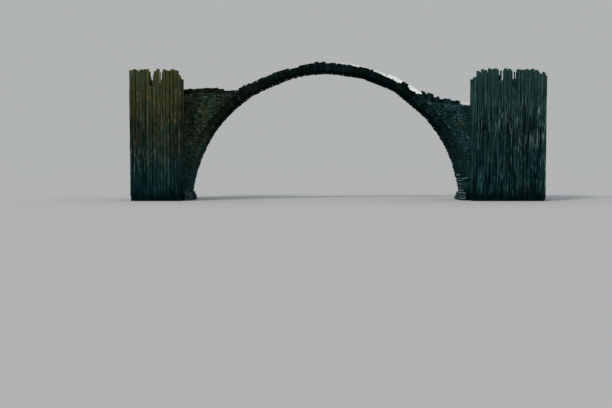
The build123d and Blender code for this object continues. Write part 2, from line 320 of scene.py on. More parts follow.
def finish(name, heap, stone, node, smooth=38.0):
    """Makes a heap of stones a finished piece that stands for a CAD node."""
    points = np.array(heap.points, float)
    points[:, 2] = np.maximum(points[:, 2], 0.0)
    mesh = bpy.data.meshes.new(name)
    mesh.from_pydata(points.tolist(), [], heap.faces)
    tone = mesh.attributes.new("tone", "FLOAT", "FACE")
    tone.data.foreach_set("value", np.array(heap.tones, np.float32))
    mesh.materials.append(MATERIALS[stone])
    piece = bpy.data.objects.new(name, mesh)
    bpy.context.collection.objects.link(piece)
    deselect()
    piece.select_set(True)
    bpy.context.view_layer.objects.active = piece
    bpy.ops.object.mode_set(mode="EDIT")
    bpy.ops.mesh.select_all(action="SELECT")
    bpy.ops.mesh.normals_make_consistent(inside=False)
    bpy.ops.object.mode_set(mode="OBJECT")
    bpy.ops.object.shade_smooth_by_angle(angle=math.radians(smooth))
    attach(piece, "root")
    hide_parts(node)


def add_backing(heap, node, depth, stays=None):
    """Adds the body of a CAD node, drawn in by a depth, as the dark filling behind its stones."""
    shell = bmesh.new()
    shell.from_mesh(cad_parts[node].data)
    bmesh.ops.remove_doubles(shell, verts=shell.verts, dist=0.0001)
    bmesh.ops.dissolve_limit(
        shell, angle_limit=math.radians(1.0), verts=shell.verts, edges=shell.edges)
    bmesh.ops.triangulate(shell, faces=shell.faces)
    bmesh.ops.recalc_face_normals(shell, faces=shell.faces)
    shell.verts.ensure_lookup_table()
    moved = []
    for vert in shell.verts:
        push = Vector()
        seen = []
        for face in vert.link_faces:
            if stays and stays(vert.co, face.normal):
                continue
            if all((face.normal - other).length > 0.5 for other in seen):
                seen.append(face.normal.copy())
                push -= face.normal * depth
        moved.append(vert.co + push)
    heap.add(moved, [tuple(v.index for v in face.verts) for face in shell.faces], 0.0)
    shell.free()


END_ON = 0.8  # How squarely a face has to look along the bridge to count as an end


def ring_ends_stay(place, normal):
    """Keeps the two radial ends of a stretch of the ring where they are."""
    a = math.atan2(place.x - ARCH_X, place.z + sizes().centre_drop)
    return abs(normal.x * math.cos(a) - normal.z * math.sin(a)) > END_ON


def ends_stay(place, normal):
    """Keeps the two ends of a piece along the bridge where they are."""
    return abs(normal.x) > END_ON


def inner_end_stays(place, normal):
    """Keeps the end of an abutment that touches its spandrel."""
    return normal.x * (place.x - ARCH_X) < 0 and abs(normal.x) > END_ON


def split(start, end, usual, chance, spread=0.4):
    """Places that divide a length into irregular stones."""
    count = max(1, round(abs(end - start) / usual))
    weights = [chance.uniform(1 - spread, 1 + spread) for _ in range(count)]
    total = sum(weights)
    cuts = [start]
    for weight in weights:
        cuts.append(cuts[-1] + (end - start) * weight / total)
    cuts[-1] = end
    return cuts


def with_joints(cuts, joints, gap):
    """Places that divide a length, with some of them moved to the joints that must be there."""
    inner = [j for j in joints if cuts[0] + gap < j < cuts[-1] - gap]
    kept = [c for c in cuts[1:-1] if all(abs(c - j) > gap for j in inner)]
    return [cuts[0], *sorted(kept + inner), cuts[-1]]


def stretches(cuts):
    """Each stretch between two cuts: its start, its end and its middle."""
    return [(a, b, (a + b) / 2) for a, b in pairs(cuts)]


def corners_of(x0, x1, y0, y1, low, high):
    """Eight corners, the lower four first; low and high are each a height at x0 and one at x1."""
    return [(x, y, z) for z0, z1 in (low, high)
            for x, y, z in ((x0, y0, z0), (x1, y0, z1), (x1, y1, z1), (x0, y1, z0))]


def centre(points):
    """The middle of an outline's corners."""
    return sum(p[0] for p in points) / len(points), sum(p[1] for p in points) / len(points)


# Cells of a wall or of a floor


def sides(points):
    """Each corner of an outline with the next one."""
    return zip(points, points[1:] + points[:1])


def cut_cell(points, nx, ny, limit):
    """The part of a convex outline where nx * x + ny * y is at most limit."""
    kept = []
    for p, q in sides(points):
        dp = nx * p[0] + ny * p[1] - limit
        dq = nx * q[0] + ny * q[1] - limit
        if dp <= 0:
            kept.append(p)
        if dp * dq < 0:
            t = dp / (dp - dq)
            kept.append((p[0] + (q[0] - p[0]) * t, p[1] + (q[1] - p[1]) * t))
    return kept


def inset(points, amount):
    """A convex outline, anticlockwise, with every side moved in."""
    shape = points
    for p, q in sides(points):
        length = math.hypot(q[0] - p[0], q[1] - p[1])
        if length < 1e-6:
            continue
        nx, ny = (q[1] - p[1]) / length, -(q[0] - p[0]) / length
        shape = cut_cell(shape, nx, ny, nx * p[0] + ny * p[1] - amount)
        if len(shape) < 3:
            return []
    return shape


def area(points):
    """The area of an outline."""
    return sum(p[0] * q[1] - q[0] * p[1] for p, q in sides(points)) / 2


def rubble_cells(x0, x1, y0, y1, size, chance, inside, limits,
                 long=1.35, jitter=0.34, reach=3.2, smallest=0.12):
    """Irregular stone outlines that fill a wall from x0 to x1 and y0 to y1, longer than high."""
    wide, high = size * long, size / long
    seeds = []
    row = 0
    y = y0 - high
    while y < y1 + 2 * high:
        x = x0 - wide * (1.0 + 0.5 * (row % 2))
        while x < x1 + 2 * wide:
            seeds.append((x + chance.uniform(-jitter, jitter) * wide,
                          y + chance.uniform(-jitter, jitter) * high))
            x += wide * chance.uniform(0.7, 1.3)
        y += high
        row += 1
    cells = []
    sites = np.array(seeds)
    for x, y in seeds:
        if not inside(x, y):
            continue
        near = np.abs(sites - (x, y)) < (reach * wide, reach * high)
        cell = [(x + wide * u, y + high * v) for u, v in ((-2, -2), (2, -2), (2, 2), (-2, 2))]
        for u, v in sites[near.all(axis=1)]:
            dx, dy = u - x, (v - y) * long * long
            if dx == 0 and dy == 0:
                continue
            mx, my = (u + x) / 2, (v + y) / 2
            cell = cut_cell(cell, dx, dy, dx * mx + dy * my)
            if len(cell) < 3:
                break
        for nx, ny, limit in limits(x, y):
            cell = cut_cell(cell, nx, ny, limit)
            if len(cell) < 3:
                break
        if len(cell) > 2 and area(cell) > smallest * wide * high:
            cells.append(cell)
    return cells


def side_faces(rows, count):
    """The faces between rows of points, each row a closed ring of a count of them."""
    return [(row * count + i, row * count + (i + 1) % count,
             (row + 1) * count + (i + 1) % count, (row + 1) * count + i)
            for row in range(rows - 1) for i in range(count)]


def add_cell_stone(heap, cell, place, chance, joint, relief, tone,
                   depth=0.07, facets=0.35, tilt=0.13, least=0.0012):
    """Adds a stone with a cell's outline; place turns a point of the wall into one in space."""
    outline = inset(cell, joint / 2)
    if len(outline) < 3 or area(outline) < least:
        return
    cx, cy = centre(outline)
    width = math.sqrt(area(outline))
    shoulder = min(0.03, 0.16 * width)
    face = relief * chance.uniform(0.35, 1.0)
    tilt_x, tilt_y = chance.gauss(0, tilt), chance.gauss(0, tilt)
    rings = ((1.0, -depth, 0.0), (1.0, face * 0.25, 0.4),
             (1.0 - shoulder / (0.5 * width), face * 0.9, 1.0), (0.45, face, 1.0))
    points = []
    for share, height, rough in rings:
        for px, py in outline:
            dx, dy = (px - cx) * share, (py - cy) * share
            lift = height + rough * (tilt_x * dx + tilt_y * dy + chance.gauss(0, facets * 0.02))
            if height < 0:
                lift = height
            points.append(place(cx + dx, cy + dy, lift))
    points.append(place(cx, cy, face + chance.gauss(0, facets * 0.03)))
    count = len(outline)
    last = (len(rings) - 1) * count
    faces = side_faces(len(rings), count)
    faces += [(last + i, last + (i + 1) % count, len(points) - 1) for i in range(count)]
    heap.add(points, faces, tone)


# Stone materials

MATERIALS = {}
NOISE_RANGE = (0.3, 0.7)  # Where most values of a noise lie
# Where a change starts along the bridge and where it is full, and the values that it runs between
MOSSY_AND_SUNLIT_SIDE = (-2.5, -8.0)
STREAKS_END = (9.85, 10.35, 0.45, 1.0)
# The painted shade of the furrows between the columns, fainter on the left
FURROW_SHADE_SIDE = (-4.0, 4.0, 0.55, 0.9)
# The painted highlight flecks, fainter on the left
FLECK_HIGHLIGHTS_SIDE = (-4.0, 4.0, 0.6, 1.0)
# The same with the height above the water line
MOSSY_AND_SUNLIT_HEIGHTS = (1.2, 4.0)
SUNNY_HEIGHTS = (4.5, 6.5)
STREAKS_TOP = (7.6, 5.6, 0.40, 1.0)
STREAKS_FOOT = (0.5, 1.6, 0.4, 1.0)
WET_FOOT = (0.85, 0.30)
# The same with how far a surface faces up, and with the tone of a stone
UPWARD = (0.15, 0.85)
# How far a path face must look up before it takes the painted sky sheen, which is partly wear
WEAR_AND_SHEEN_UPWARD = (0.5, 0.9)
PALE_FROM = (1.0, 2.0)
DRY_FROM = (1.0, 1.3)
# The noises: their scale, detail, roughness and stretch, and then the same as above
PATCHES = {
    "streak_patches": ((0.9, 3.0, 0.6, (1.0, 1.0, 0.6)), (0.38, 0.60, 0.15, 1.0)),
    "streaks": ((20.0, 1.0, 0.5, (1.0, 1.0, 0.085)), (0.57, 0.63)),
    "streak_moss": ((0.6, 2.0, 0.5, (1.0, 1.0, 0.6)), (0.50, 0.62, 0.0, 0.7)),
    "furrow_shade": ((16.0, 1.0, 0.5, (1.0, 1.0, 0.03)), (0.51, 0.43)),
    "lichen": ((2.3,), (0.48, 0.62)),
    "fleck_highlights": ((9.0, 2.0, 0.6, (1.0, 1.0, 1.4)), (0.56, 0.62)),
    "fleck_highlight_patches": ((1.3, 2.0), (0.42, 0.56, 0.25, 1.0)),
    "old_moss": ((1.1, 5.0, 0.6), (0.32, 0.56, 0.45, 1.0)),
    "damp": ((1.4, 6.0, 0.65), (0.44, 0.60)),
    "cushion_edge": ((7.0, 3.0), (*NOISE_RANGE, -0.16, 0.16)),
    "cushion": ((14.0,), (0.40, 0.55)),
    "water_line": ((2.6, 4.0), (*NOISE_RANGE, -0.30, 0.30)),
    "flakes": ((12.0, 3.0, 0.7), (0.50, 0.58)),
}
MOTTLE = (5.0, 0.62)
UPRIGHT = (1.0, 1.0, 0.35)
GRAIN = (42.0, 3.0, 0.7)
LUMPS = (11.0, 6.0, 0.7)
SPOTS, SPOT_RANGE = 11.0, (0.24, 0.14)
ROUGHNESS = (0.70, 0.90)
# Colours that the user doesn't set
# The colour of small painted highlights on the tops of the wall's stones
FLECK_HIGHLIGHT = (0.082, 0.150, 0.162)
CUSHION = (0.045, 0.064, 0.036)
FLAKE = (0.15, 0.21, 0.20)
# Painted warm yellow light on the high columns of the left side
SUNNY_TINT = (1.45, 1.2, 0.9)
# Places where pale flakes and moss cushions lie, each with its radius
GRIT = (((-9.75, -FACE_Y, 0.25), 0.75), ((-9.75, FACE_Y, 0.25), 0.75))
MOSS_CUSHIONS = (((7.98, -FACE_Y, 4.99), 0.27), ((7.2, -FACE_Y, 6.0), 0.13),
                 ((-8.6, FACE_Y, 5.3), 0.35), ((7.1, FACE_Y, 4.2), 0.3))
# How stones change with their height: where it starts, where it is full and by how much
COLUMN_LEVELS = ((4.2, 1.9, (0.63, 0.84, 0.86)), (4.6, 8.0, (1.5, 1.7, 1.6)))
RING_LEVELS = ((5.2, 1.8, (1.8, 2.1, 2.2)),)
RUBBLE_LEVELS = ((5.4, 3.2, (1.5, 1.45, 1.5)),)
# Where stones lose their differences: the start, the end, the share and the even colour
COLUMN_EVENED = ((4.6, 7.8, 0.6, (0.0152, 0.0315, 0.0295)),)
RUBBLE_EVENED = ((-0.2, -0.1, 0.45, (0.0050, 0.0185, 0.0200)),)
RING_EVENED = ((4.4, 2.0, 0.35, (0.0055, 0.0150, 0.0145)),)


def scaled(values, share):
    """A colour made darker or lighter."""
    return tuple(share * v for v in values)


class Nodes:
    """A short way to lay out the nodes of one material."""

    def __init__(self, name):
        self.material = bpy.data.materials.new(name)
        self.material.use_nodes = True
        self.tree = self.material.node_tree
        self.shader = self.tree.nodes["Principled BSDF"]
        self.coords = self.tree.nodes.new("ShaderNodeTexCoord").outputs["Object"]

    def join(self, source, target):
        """Links a socket, or sets a value on it."""
        if isinstance(source, bpy.types.NodeSocket):
            self.tree.links.new(source, target)
        else:
            target.default_value = source

    def make(self, kind, output, values, **settings):
        """Adds a node with its settings and its inputs' sources, and gives one of its outputs."""
        node = self.tree.nodes.new("ShaderNode" + kind)
        for name, value in settings.items():
            setattr(node, name, value)
        for name, value in values.items():
            self.join(value, node.inputs[name])
        return node.outputs[output]

    def noise(self, scale, detail=4.0, roughness=0.6, stretch=None):
        """A noise over the object, from 0 to 1, stretched along its axes where asked."""
        place = self.coords
        if stretch:
            place = self.make("Mapping", "Vector", {"Vector": place, "Scale": stretch})
        return self.make("TexNoise", "Fac", {"Vector": place, "Scale": scale, "Detail": detail,
                                             "Roughness": roughness})

    def spots(self, scale):
        """How far a point is from scattered points."""
        return self.make("TexVoronoi", "Distance", {"Vector": self.coords, "Scale": scale})

    def ramp(self, source, low, high, out_low=0.0, out_high=1.0):
        """A value spread from low..high to out_low..out_high and held there."""
        return self.make("MapRange", "Result", {
            "Value": source, "From Min": low, "From Max": high,
            "To Min": out_low, "To Max": out_high}, clamp=True)

    def sway(self, source, low, high):
        """A noise spread to low..high."""
        return self.ramp(source, *NOISE_RANGE, low, high)

    def patch(self, name):
        """One of the noises that are listed above, spread as it says there."""
        noise, spread = PATCHES[name]
        return self.ramp(self.noise(*noise), *spread)

    def plus(self, first, *others):
        """The sum of some values."""
        for other in others:
            first = self.make("Math", "Value", {0: first, 1: other}, operation="ADD")
        return first

    def times(self, first, *others):
        """The product of some values."""
        for other in others:
            first = self.make("Math", "Value", {0: first, 1: other}, operation="MULTIPLY")
        return first

    def mix(self, share, a, b, blend="MIX"):
        """A colour between two colours."""
        a, b = (v if isinstance(v, bpy.types.NodeSocket) else (*v, 1.0) for v in (a, b))
        return self.make("Mix", "Result", {"Factor": share, "A": a, "B": b},
                         data_type="RGBA", blend_type=blend)

    def tint(self, share, a, b):
        """A colour multiplied by another one."""
        return self.mix(share, a, b, "MULTIPLY")

    def tone(self):
        """The tone that each stone was given."""
        return self.make("Attribute", "Fac", {}, attribute_name="tone")

    def upward(self):
        """How far a surface faces up, from -1 to 1."""
        normal = self.make("NewGeometry", "Normal", {})
        return self.make("SeparateXYZ", "Z", {"Vector": normal})

    def along(self):
        """The place of a point along the bridge."""
        return self.make("SeparateXYZ", "X", {"Vector": self.coords})

    def height(self):
        """The height of a point above the water line."""
        return self.make("SeparateXYZ", "Z", {"Vector": self.coords})

    def distance(self, place):
        """How far a point is from a place."""
        return self.make("VectorMath", "Value", {0: self.coords, 1: place}, operation="DISTANCE")

    def bump(self, source, values):
        """A relief that is finer than the mesh."""
        return self.make("Bump", "Normal", {"Height": source, **values})


def add_streaks(n, base, dark):
    """Thin upright streaks gathered in broad patches and fainter near the top: the pale ones partly
    lichen and partly a painted highlight, the dark ones painted shade in furrows.
    """
    c = colours()
    strength = n.times(n.patch("streak_patches"), n.ramp(n.height(), *STREAKS_TOP),
                       n.ramp(n.along(), *STREAKS_END), n.ramp(n.height(), *STREAKS_FOOT))
    # Pale streaks: partly lichen or moss, partly a painted highlight
    shown = n.mix(n.patch("streak_moss"), c.streak_highlight, scaled(c.olive, 2.2))
    base = n.mix(n.times(n.patch("streaks"), strength), base, shown)
    # Dark furrows: painted shade in the grooves between the columns
    shaded_furrow = n.times(n.patch("furrow_shade"), n.ramp(n.along(), *FURROW_SHADE_SIDE))
    return n.mix(shaded_furrow, base, scaled(dark, 0.3))


def stone_material(name, dark, light, moss=0.5, lichen=0.5, streaks=False, worn=0.0, olive=0.8,
                   wetness=0.85, cushions=(), coarse=5.0, grit=(), fleck_highlights=0.0,
                   levels=(), evened=()):
    """A rough stone: its tone, mottling, grain, lichen, moss on what faces up and a wet foot, and,
    where asked, painted highlights, painted shade and painted light.
    """
    n = Nodes(name)
    c = colours()
    mottle = n.noise(coarse, *MOTTLE, UPRIGHT if streaks else None)
    grain = n.noise(*GRAIN)
    spread = 0.08 if streaks else 0.20
    tone = n.plus(n.tone(), n.sway(mottle, -spread, spread), n.sway(grain, -0.08, 0.12))
    base = n.mix(n.ramp(tone, 0.0, 1.0), dark, light)
    if streaks:
        base = add_streaks(n, base, dark)
    speck = n.times(n.ramp(n.spots(SPOTS), *SPOT_RANGE), n.patch("lichen"), lichen)
    base = n.mix(speck, base, tuple(min(1.0, 0.01 + 1.6 * v) for v in light))
    for start, end, share, even in evened:
        base = n.mix(n.ramp(n.height(), start, end, 0.0, share), base, even)
    # Pale flecks: small painted highlights on the tops of the wall's stones
    if fleck_highlights:
        lit = n.times(n.patch("fleck_highlights"), n.patch("fleck_highlight_patches"),
                      n.ramp(n.along(), *FLECK_HIGHLIGHTS_SIDE), fleck_highlights)
        base = n.mix(lit, base, FLECK_HIGHLIGHT)
    side = n.times(n.ramp(n.along(), *MOSSY_AND_SUNLIT_SIDE), n.ramp(n.height(), *MOSSY_AND_SUNLIT_HEIGHTS))
    base = n.tint(n.times(side, n.patch("old_moss"), olive), base, c.olive_tint)
    # Painted warm yellow light over the high columns on the left
    if streaks:
        base = n.tint(n.times(side, n.ramp(n.height(), *SUNNY_HEIGHTS)), base, SUNNY_TINT)
    for start, end, change in levels:
        base = n.tint(n.ramp(n.height(), start, end), base, change)
    base = n.mix(n.times(n.ramp(n.upward(), *UPWARD), n.patch("damp"), moss), base, c.moss)
    for place, radius in cushions:
        far = n.plus(n.distance(place), n.patch("cushion_edge"))
        base = n.mix(n.times(n.ramp(far, radius, 0.6 * radius), n.patch("cushion")), base, CUSHION)
    # On the path, faces that look up are whitened: partly wear, partly a painted sheen of the sky
    if worn:
        base = n.mix(n.times(n.ramp(n.upward(), *WEAR_AND_SHEEN_UPWARD), worn), base, c.path_light)
    else:
        base = n.mix(n.ramp(n.tone(), *PALE_FROM), base, c.pale)
    wet = n.ramp(n.plus(n.height(), n.patch("water_line")), *WET_FOOT)
    base = n.mix(n.times(wet, n.ramp(n.tone(), *DRY_FROM, wetness, 0.0)), base, scaled(dark, 0.5))
    for place, radius in grit:
        near = n.ramp(n.distance(place), radius, 0.4 * radius)
        base = n.mix(n.times(near, n.patch("flakes")), base, FLAKE)
    n.join(base, n.shader.inputs["Base Color"])
    n.join(n.plus(n.sway(grain, *ROUGHNESS), n.times(wet, -0.25)), n.shader.inputs["Roughness"])
    n.shader.inputs["Specular IOR Level"].default_value = 0.0
    lumps = n.bump(n.noise(*LUMPS), {"Strength": 0.8, "Distance": 0.03})
    fine = n.bump(grain, {"Strength": 0.5, "Distance": 0.008, "Normal": lumps})
    n.join(fine, n.shader.inputs["Normal"])
    return n.material


def make_materials():
    """The stone finishes of the whole bridge."""
    c = colours()
    MATERIALS.update(
        ring=stone_material("ring_basalt", c.ring_dark, c.ring_light, 0.55, 0.35, coarse=9.0,
                            grit=GRIT, levels=RING_LEVELS, evened=RING_EVENED),
        rubble=stone_material("rubble_basalt", c.rubble_dark, c.rubble_light, 0.6, 0.8,
                              cushions=MOSS_CUSHIONS, coarse=11.0, grit=GRIT, fleck_highlights=0.95,
                              levels=RUBBLE_LEVELS, evened=RUBBLE_EVENED),
        column=stone_material("column_basalt", c.column_dark, c.column_light, 0.5, 0.3,
                              streaks=True, levels=COLUMN_LEVELS, evened=COLUMN_EVENED),
        # The path's pale stones and upward faces carry a painted sky sheen as well as their wear
        path=stone_material("worn_path", c.path_dark, c.path_light, 0.25, 0.2,
                            worn=0.55, olive=0.0),
        foot=stone_material("foot_stone", c.foot_dark, c.foot_light, 0.3, 0.5,
                            olive=0.2, wetness=0.0, grit=GRIT),
        edge=stone_material("edge_basalt", c.ring_dark, c.ring_light, 0.7, 0.7))


# The arch ring

RING_NODES = ("ring_left_foot", "ring_left_haunch", "ring_left_flank", "ring_crown",
              "ring_right_flank", "ring_right_haunch", "ring_right_foot")
# How far the stones stand under the soffit, by the angle from the crown
SOFFIT_LINE = ((-80.0, 0.0), (-45.0, 0.03), (-33.0, 0.06), (-28.0, 0.11), (-22.0, 0.14),
               (-17.0, 0.10), (-10.0, 0.06), (0.0, 0.07), (9.0, 0.10), (13.0, 0.07),
               (16.0, 0.04), (20.0, 0.07), (24.0, 0.05), (30.0, 0.0), (33.0, 0.04),
               (36.0, 0.09), (42.0, 0.09), (47.0, 0.03), (80.0, 0.0))
SOFFIT_WEAR = (-0.025, 0.015)
BACK_WEAR = (0.0, 0.02)
FACE_WEAR = (0.0, 0.05)
LEAN = 0.12
# How light the ring is: its first and last value, the angle where it changes, over how many degrees
RING_SHADE = (0.42, 0.80, 25, 50)
# Painted light that lifts the ring's stones at the left foot against the left tower's shade, in the
# same form
LEFT_FOOT_PAINTED_LIGHT = (0.0, 0.45, 50, 18)
# The share of pale slabs under the right foot, in the two faces and between them
# These pale slabs are partly pale stone, partly painted glints of wet stone
PALE_SLABS = {True: 0.06, False: 0.85}
PALE_TONES = (1.15, 1.75)
PALE_DEPTH = 0.32
PALE_TRIM = 0.25


def ring_block(heap, a0, a1, r0, r1, y0, y1, chance, joint, tone):
    """Adds a stone of the ring, or on it, between two angles, two radii and two places across."""
    trim = math.degrees(joint / 2 / (r0 + r1) * 2)
    a0, a1 = a0 + trim, a1 - trim
    y0, y1 = y0 + joint / 2, y1 - joint / 2
    lean = chance.gauss(0, LEAN) * (a1 - a0)
    corners = [polar(r, a, y) for r, b0, b1 in ((r0, a0, a1), (r1, a0 + lean, a1 + lean))
               for a, y in ((b0, y0), (b1, y0), (b1, y1), (b0, y1))]
    heap.add_block(corners, chance, tone)


def ring_limits():
    """The angles at which the stretches of the ring meet, from the left foot to the right one."""
    s = sizes()
    foot = math.degrees(math.acos(s.centre_drop / (s.arch_radius + s.depth_springing)))
    inner = [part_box(n)[0].x for n in RING_NODES[1:4]]
    outer = [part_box(n)[1].x for n in RING_NODES[3:6]]
    return [-foot, *map(angle_at, inner), *map(angle_at, outer), foot]


def lay_ring(node, start, end):
    """One stretch of the ring: courses of radial stones, each course split across the bridge."""
    s = sizes()
    chance, heap, *_ = begin(node)
    cuts = split(start, end, math.degrees(s.ring_stone / s.arch_radius), chance, spread=0.5)
    for b0, b1, middle in stretches(cuts):
        depth = ring_depth(middle)
        shade = fade(abs(middle), *RING_SHADE)
        # Painted light lifts the tone at the left foot, where the left tower shades it
        lift = fade(-middle, *LEFT_FOOT_PAINTED_LIGHT)
        across = split(-FACE_Y, FACE_Y, s.ring_width, chance, spread=0.35)
        for y0, y1 in pairs(across):
            at_face = y0 == -FACE_Y or y1 == FACE_Y
            layers = [0.0, depth]
            if at_face:
                layers = split(0.0, depth, s.ring_layer, chance, spread=0.35)
            for d0, d1 in pairs(layers):
                r0 = s.arch_radius + d0
                if d0 == 0.0:
                    r0 -= on_line(SOFFIT_LINE, middle) + chance.uniform(*SOFFIT_WEAR)
                r1 = s.arch_radius + d1 - (chance.uniform(*BACK_WEAR) if d1 == depth else 0.0)
                f0 = y0 + (chance.uniform(*FACE_WEAR) if y0 == -FACE_Y else 0.0)
                f1 = y1 - (chance.uniform(*FACE_WEAR) if y1 == FACE_Y else 0.0)
                tone = min(lift + shade * tone_of("ring", chance), 1.0)
                a0, a1 = b0, b1
                slab = middle > s.pale_foot_angle and d0 == 0.0
                if slab and chance.random() < PALE_SLABS[at_face]:
                    tone = chance.uniform(*PALE_TONES)
                    a0, a1 = b0 + PALE_TRIM * (b1 - b0), b1 - PALE_TRIM * (b1 - b0)
                    r1 = min(r1, r0 + PALE_DEPTH)
                ring_block(heap, a0, a1, r0, r1, f0, f1, chance, s.joint, tone)
    add_backing(heap, node, depth=0.05, stays=ring_ends_stay)
    finish(node.replace("ring", "stones_ring"), heap, "ring", node)


# The walls beside the arch

# How far outside a spandrel a stone's middle may lie: over its top, in the ring and past its ends
OVER_TOP, IN_RING, PAST_ENDS = 0.12, 0.06, 0.1
TOWER_LAP = 0.25  # How far the rubble runs on behind a tower
RING_LAP = 0.04  # How far it reaches down over the ring's back
RUBBLE_SET = 0.02  # How far its stones are set into the face
SPANDREL_RELIEF = 0.055
ABUTMENT_RELIEF = 0.05
ABUTMENT_SET = 0.045
# Painted light: the wall's stones are lighter towards the water, where less of the sky's light
# reaches them
LOW_PAINTED_LIGHT = 0.16  # How much lighter the stones get towards the water
LOW_PAINTED_LIGHT_TOP = 4.0
# How light the rubble is away from the ring and away from the left tower, as for the ring; the left
# spandrel's darkening away from the tower is painted shade
SPANDREL_SHADES = {"left": (0.5, 1.5, 0.15, 0.7), "right": (0.55, 1.3, 0.1, 1.3)}
TOWER_SHADE = (1.0, 0.3, -8.3, 0.5)
PALE_RUBBLE_SHARE = 0.05
PALE_RUBBLE_TONES = (1.10, 1.45)
DECK_START = {"left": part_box("spandrel_left")[1].x, "right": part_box("spandrel_right")[0].x}


def deck_line(side):
    """The top of the masonry beside the arch: a short steep shoulder and then a long level run."""
    s = sizes()
    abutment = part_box(f"abutment_{side}")
    level = s.arch_radius - s.centre_drop
    if side == "left":
        end, run, drop, fall = abutment[0].x, -s.shoulder_run, s.left_drop, s.left_fall
    else:
        end, run, drop, fall = abutment[1].x, s.shoulder_run, s.right_drop, s.right_fall
    start = DECK_START[side]
    return sorted([(start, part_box(f"spandrel_{side}")[1].z), (start + run, level - drop),
                   (end, level - drop - fall)])


def lay_spandrel(side):
    """The rubble on both faces of a spandrel, from the ring's back out to the tower."""
    s = sizes()
    node = f"spandrel_{side}"
    chance, heap, low, high = begin(node, "spandrel", side)
    deck = deck_line(side)
    for face, way in (("front", -1), ("back", 1)):
        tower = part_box(f"columns_{side}_{face}_outer")
        x0, x1 = low.x, high.x
        if side == "left":
            x0 = max(x0, tower[1].x - TOWER_LAP)
        else:
            x1 = min(x1, tower[0].x + TOWER_LAP)

        def back(x, z):
            angle = math.degrees(math.atan2(x - ARCH_X, z + s.centre_drop))
            return angle, s.arch_radius + ring_depth(angle) - RING_LAP

        def from_ring(x, z):
            return math.hypot(x - ARCH_X, z + s.centre_drop) - back(x, z)[1]

        def inside(x, z):
            between = x0 - PAST_ENDS < x < x1 + PAST_ENDS
            return between and from_ring(x, z) > -IN_RING and -0.1 < z < on_line(deck, x) + OVER_TOP

        def limits(x, z):
            angle, radius = back(x, z)
            sine, cosine = math.sin(math.radians(angle)), math.cos(math.radians(angle))
            yield (-sine, -cosine, -(radius + sine * ARCH_X - cosine * s.centre_drop))
            slope = slope_at(deck, x)
            yield (-slope, 1.0, on_line(deck, x) - slope * x)
            yield (0.0, -1.0, 0.0)
            yield (-1.0, 0.0, -x0)
            yield (1.0, 0.0, x1)

        def place(x, z, lift):
            return (x, way * (FACE_Y - RUBBLE_SET + lift), z)

        for cell in rubble_cells(x0, x1, 0.0, high.z, s.rubble_stone, chance, inside, limits):
            x, z = cell[0]
            # Painted light makes the low stones lighter
            tone = LOW_PAINTED_LIGHT * max(0.0, 1.0 - z / LOW_PAINTED_LIGHT_TOP) + tone_of("spandrel", chance)
            if chance.random() < PALE_RUBBLE_SHARE and side == "right":
                tone = chance.uniform(*PALE_RUBBLE_TONES)
            else:
                tone *= fade(from_ring(x, z), *SPANDREL_SHADES[side])
            # Painted shade over the left spandrel past the left tower's end
            if side == "left":
                tone *= fade(x, *TOWER_SHADE)
            add_cell_stone(heap, cell, place, chance, s.joint, SPANDREL_RELIEF, tone)
    add_backing(heap, node, depth=0.03, stays=ends_stay)
    finish(f"rubble_{node}", heap, "rubble", node, smooth=30.0)


def lay_abutment(side):
    """The rubble on the outer end of an abutment."""
    s = sizes()
    node = f"abutment_{side}"
    chance, heap, low, high = begin(node, "abutment", side)
    sign, end = (-1, low.x) if side == "left" else (1, high.x)
    top = on_line(deck_line(side), end)

    def inside(y, z):
        return abs(y) < FACE_Y + 0.05 and 0 < z < top + 0.05

    def limits(y, z):
        yield (0.0, 1.0, top)
        yield (0.0, -1.0, 0.0)
        yield (1.0, 0.0, FACE_Y)
        yield (-1.0, 0.0, FACE_Y)

    def place(y, z, lift):
        return (end + sign * (lift - ABUTMENT_SET), y, z)

    for cell in rubble_cells(-FACE_Y, FACE_Y, 0.0, top, s.rubble_stone, chance, inside, limits):
        add_cell_stone(heap, cell, place, chance, s.joint * 1.3, ABUTMENT_RELIEF,
                       tone_of("abutment", chance))
    add_backing(heap, node, depth=0.05, stays=inner_end_stays)
    finish(f"rubble_{node}", heap, "rubble", node, smooth=30.0)


# The path and its edge stones

# How high the path stands over the ring's back, by the angle from the crown
PATH_LINE = ((-36.0, 0.12), (-20.0, 0.10), (-14.0, 0.04), (-5.0, 0.05), (-1.0, 0.12), (3.0, 0.12),
             (9.0, 0.21), (14.0, 0.25), (19.0, 0.22), (26.0, 0.235), (37.0, 0.235))
# Where the front edge stones are gone, and how far down the path stones reach there
BARE_EDGES = ((24.4, 30.5), (33.45, 38.0))
BARE_FOOT = ((24.4, 0.04), (25.5, 0.02), (28.2, 0.0), (29.0, -0.05), (29.6, 0.01), (30.5, 0.03),
             (33.45, 0.13), (34.0, 0.06), (35.0, -0.03), (36.0, 0.02), (38.0, 0.03))
BARE_STONE = 0.17  # The usual length of a stone there
OVERHANG = 0.03
SEAT = 0.06  # How deep the stones on the arch reach into its back
TOP_WEAR = (-0.012, 0.012)
PATH_WIDTH = 1.25  # How wide a path stone is, of its length
PATH_BED = 0.03
PATH_TONES = (0.2, 0.85)
ARCH_EDGE_TONE = 0.6  # How light the edge stones are, of the usual
VERGE_TONE = 0.8
SHUT = 0.002  # The joint between stones that look as one
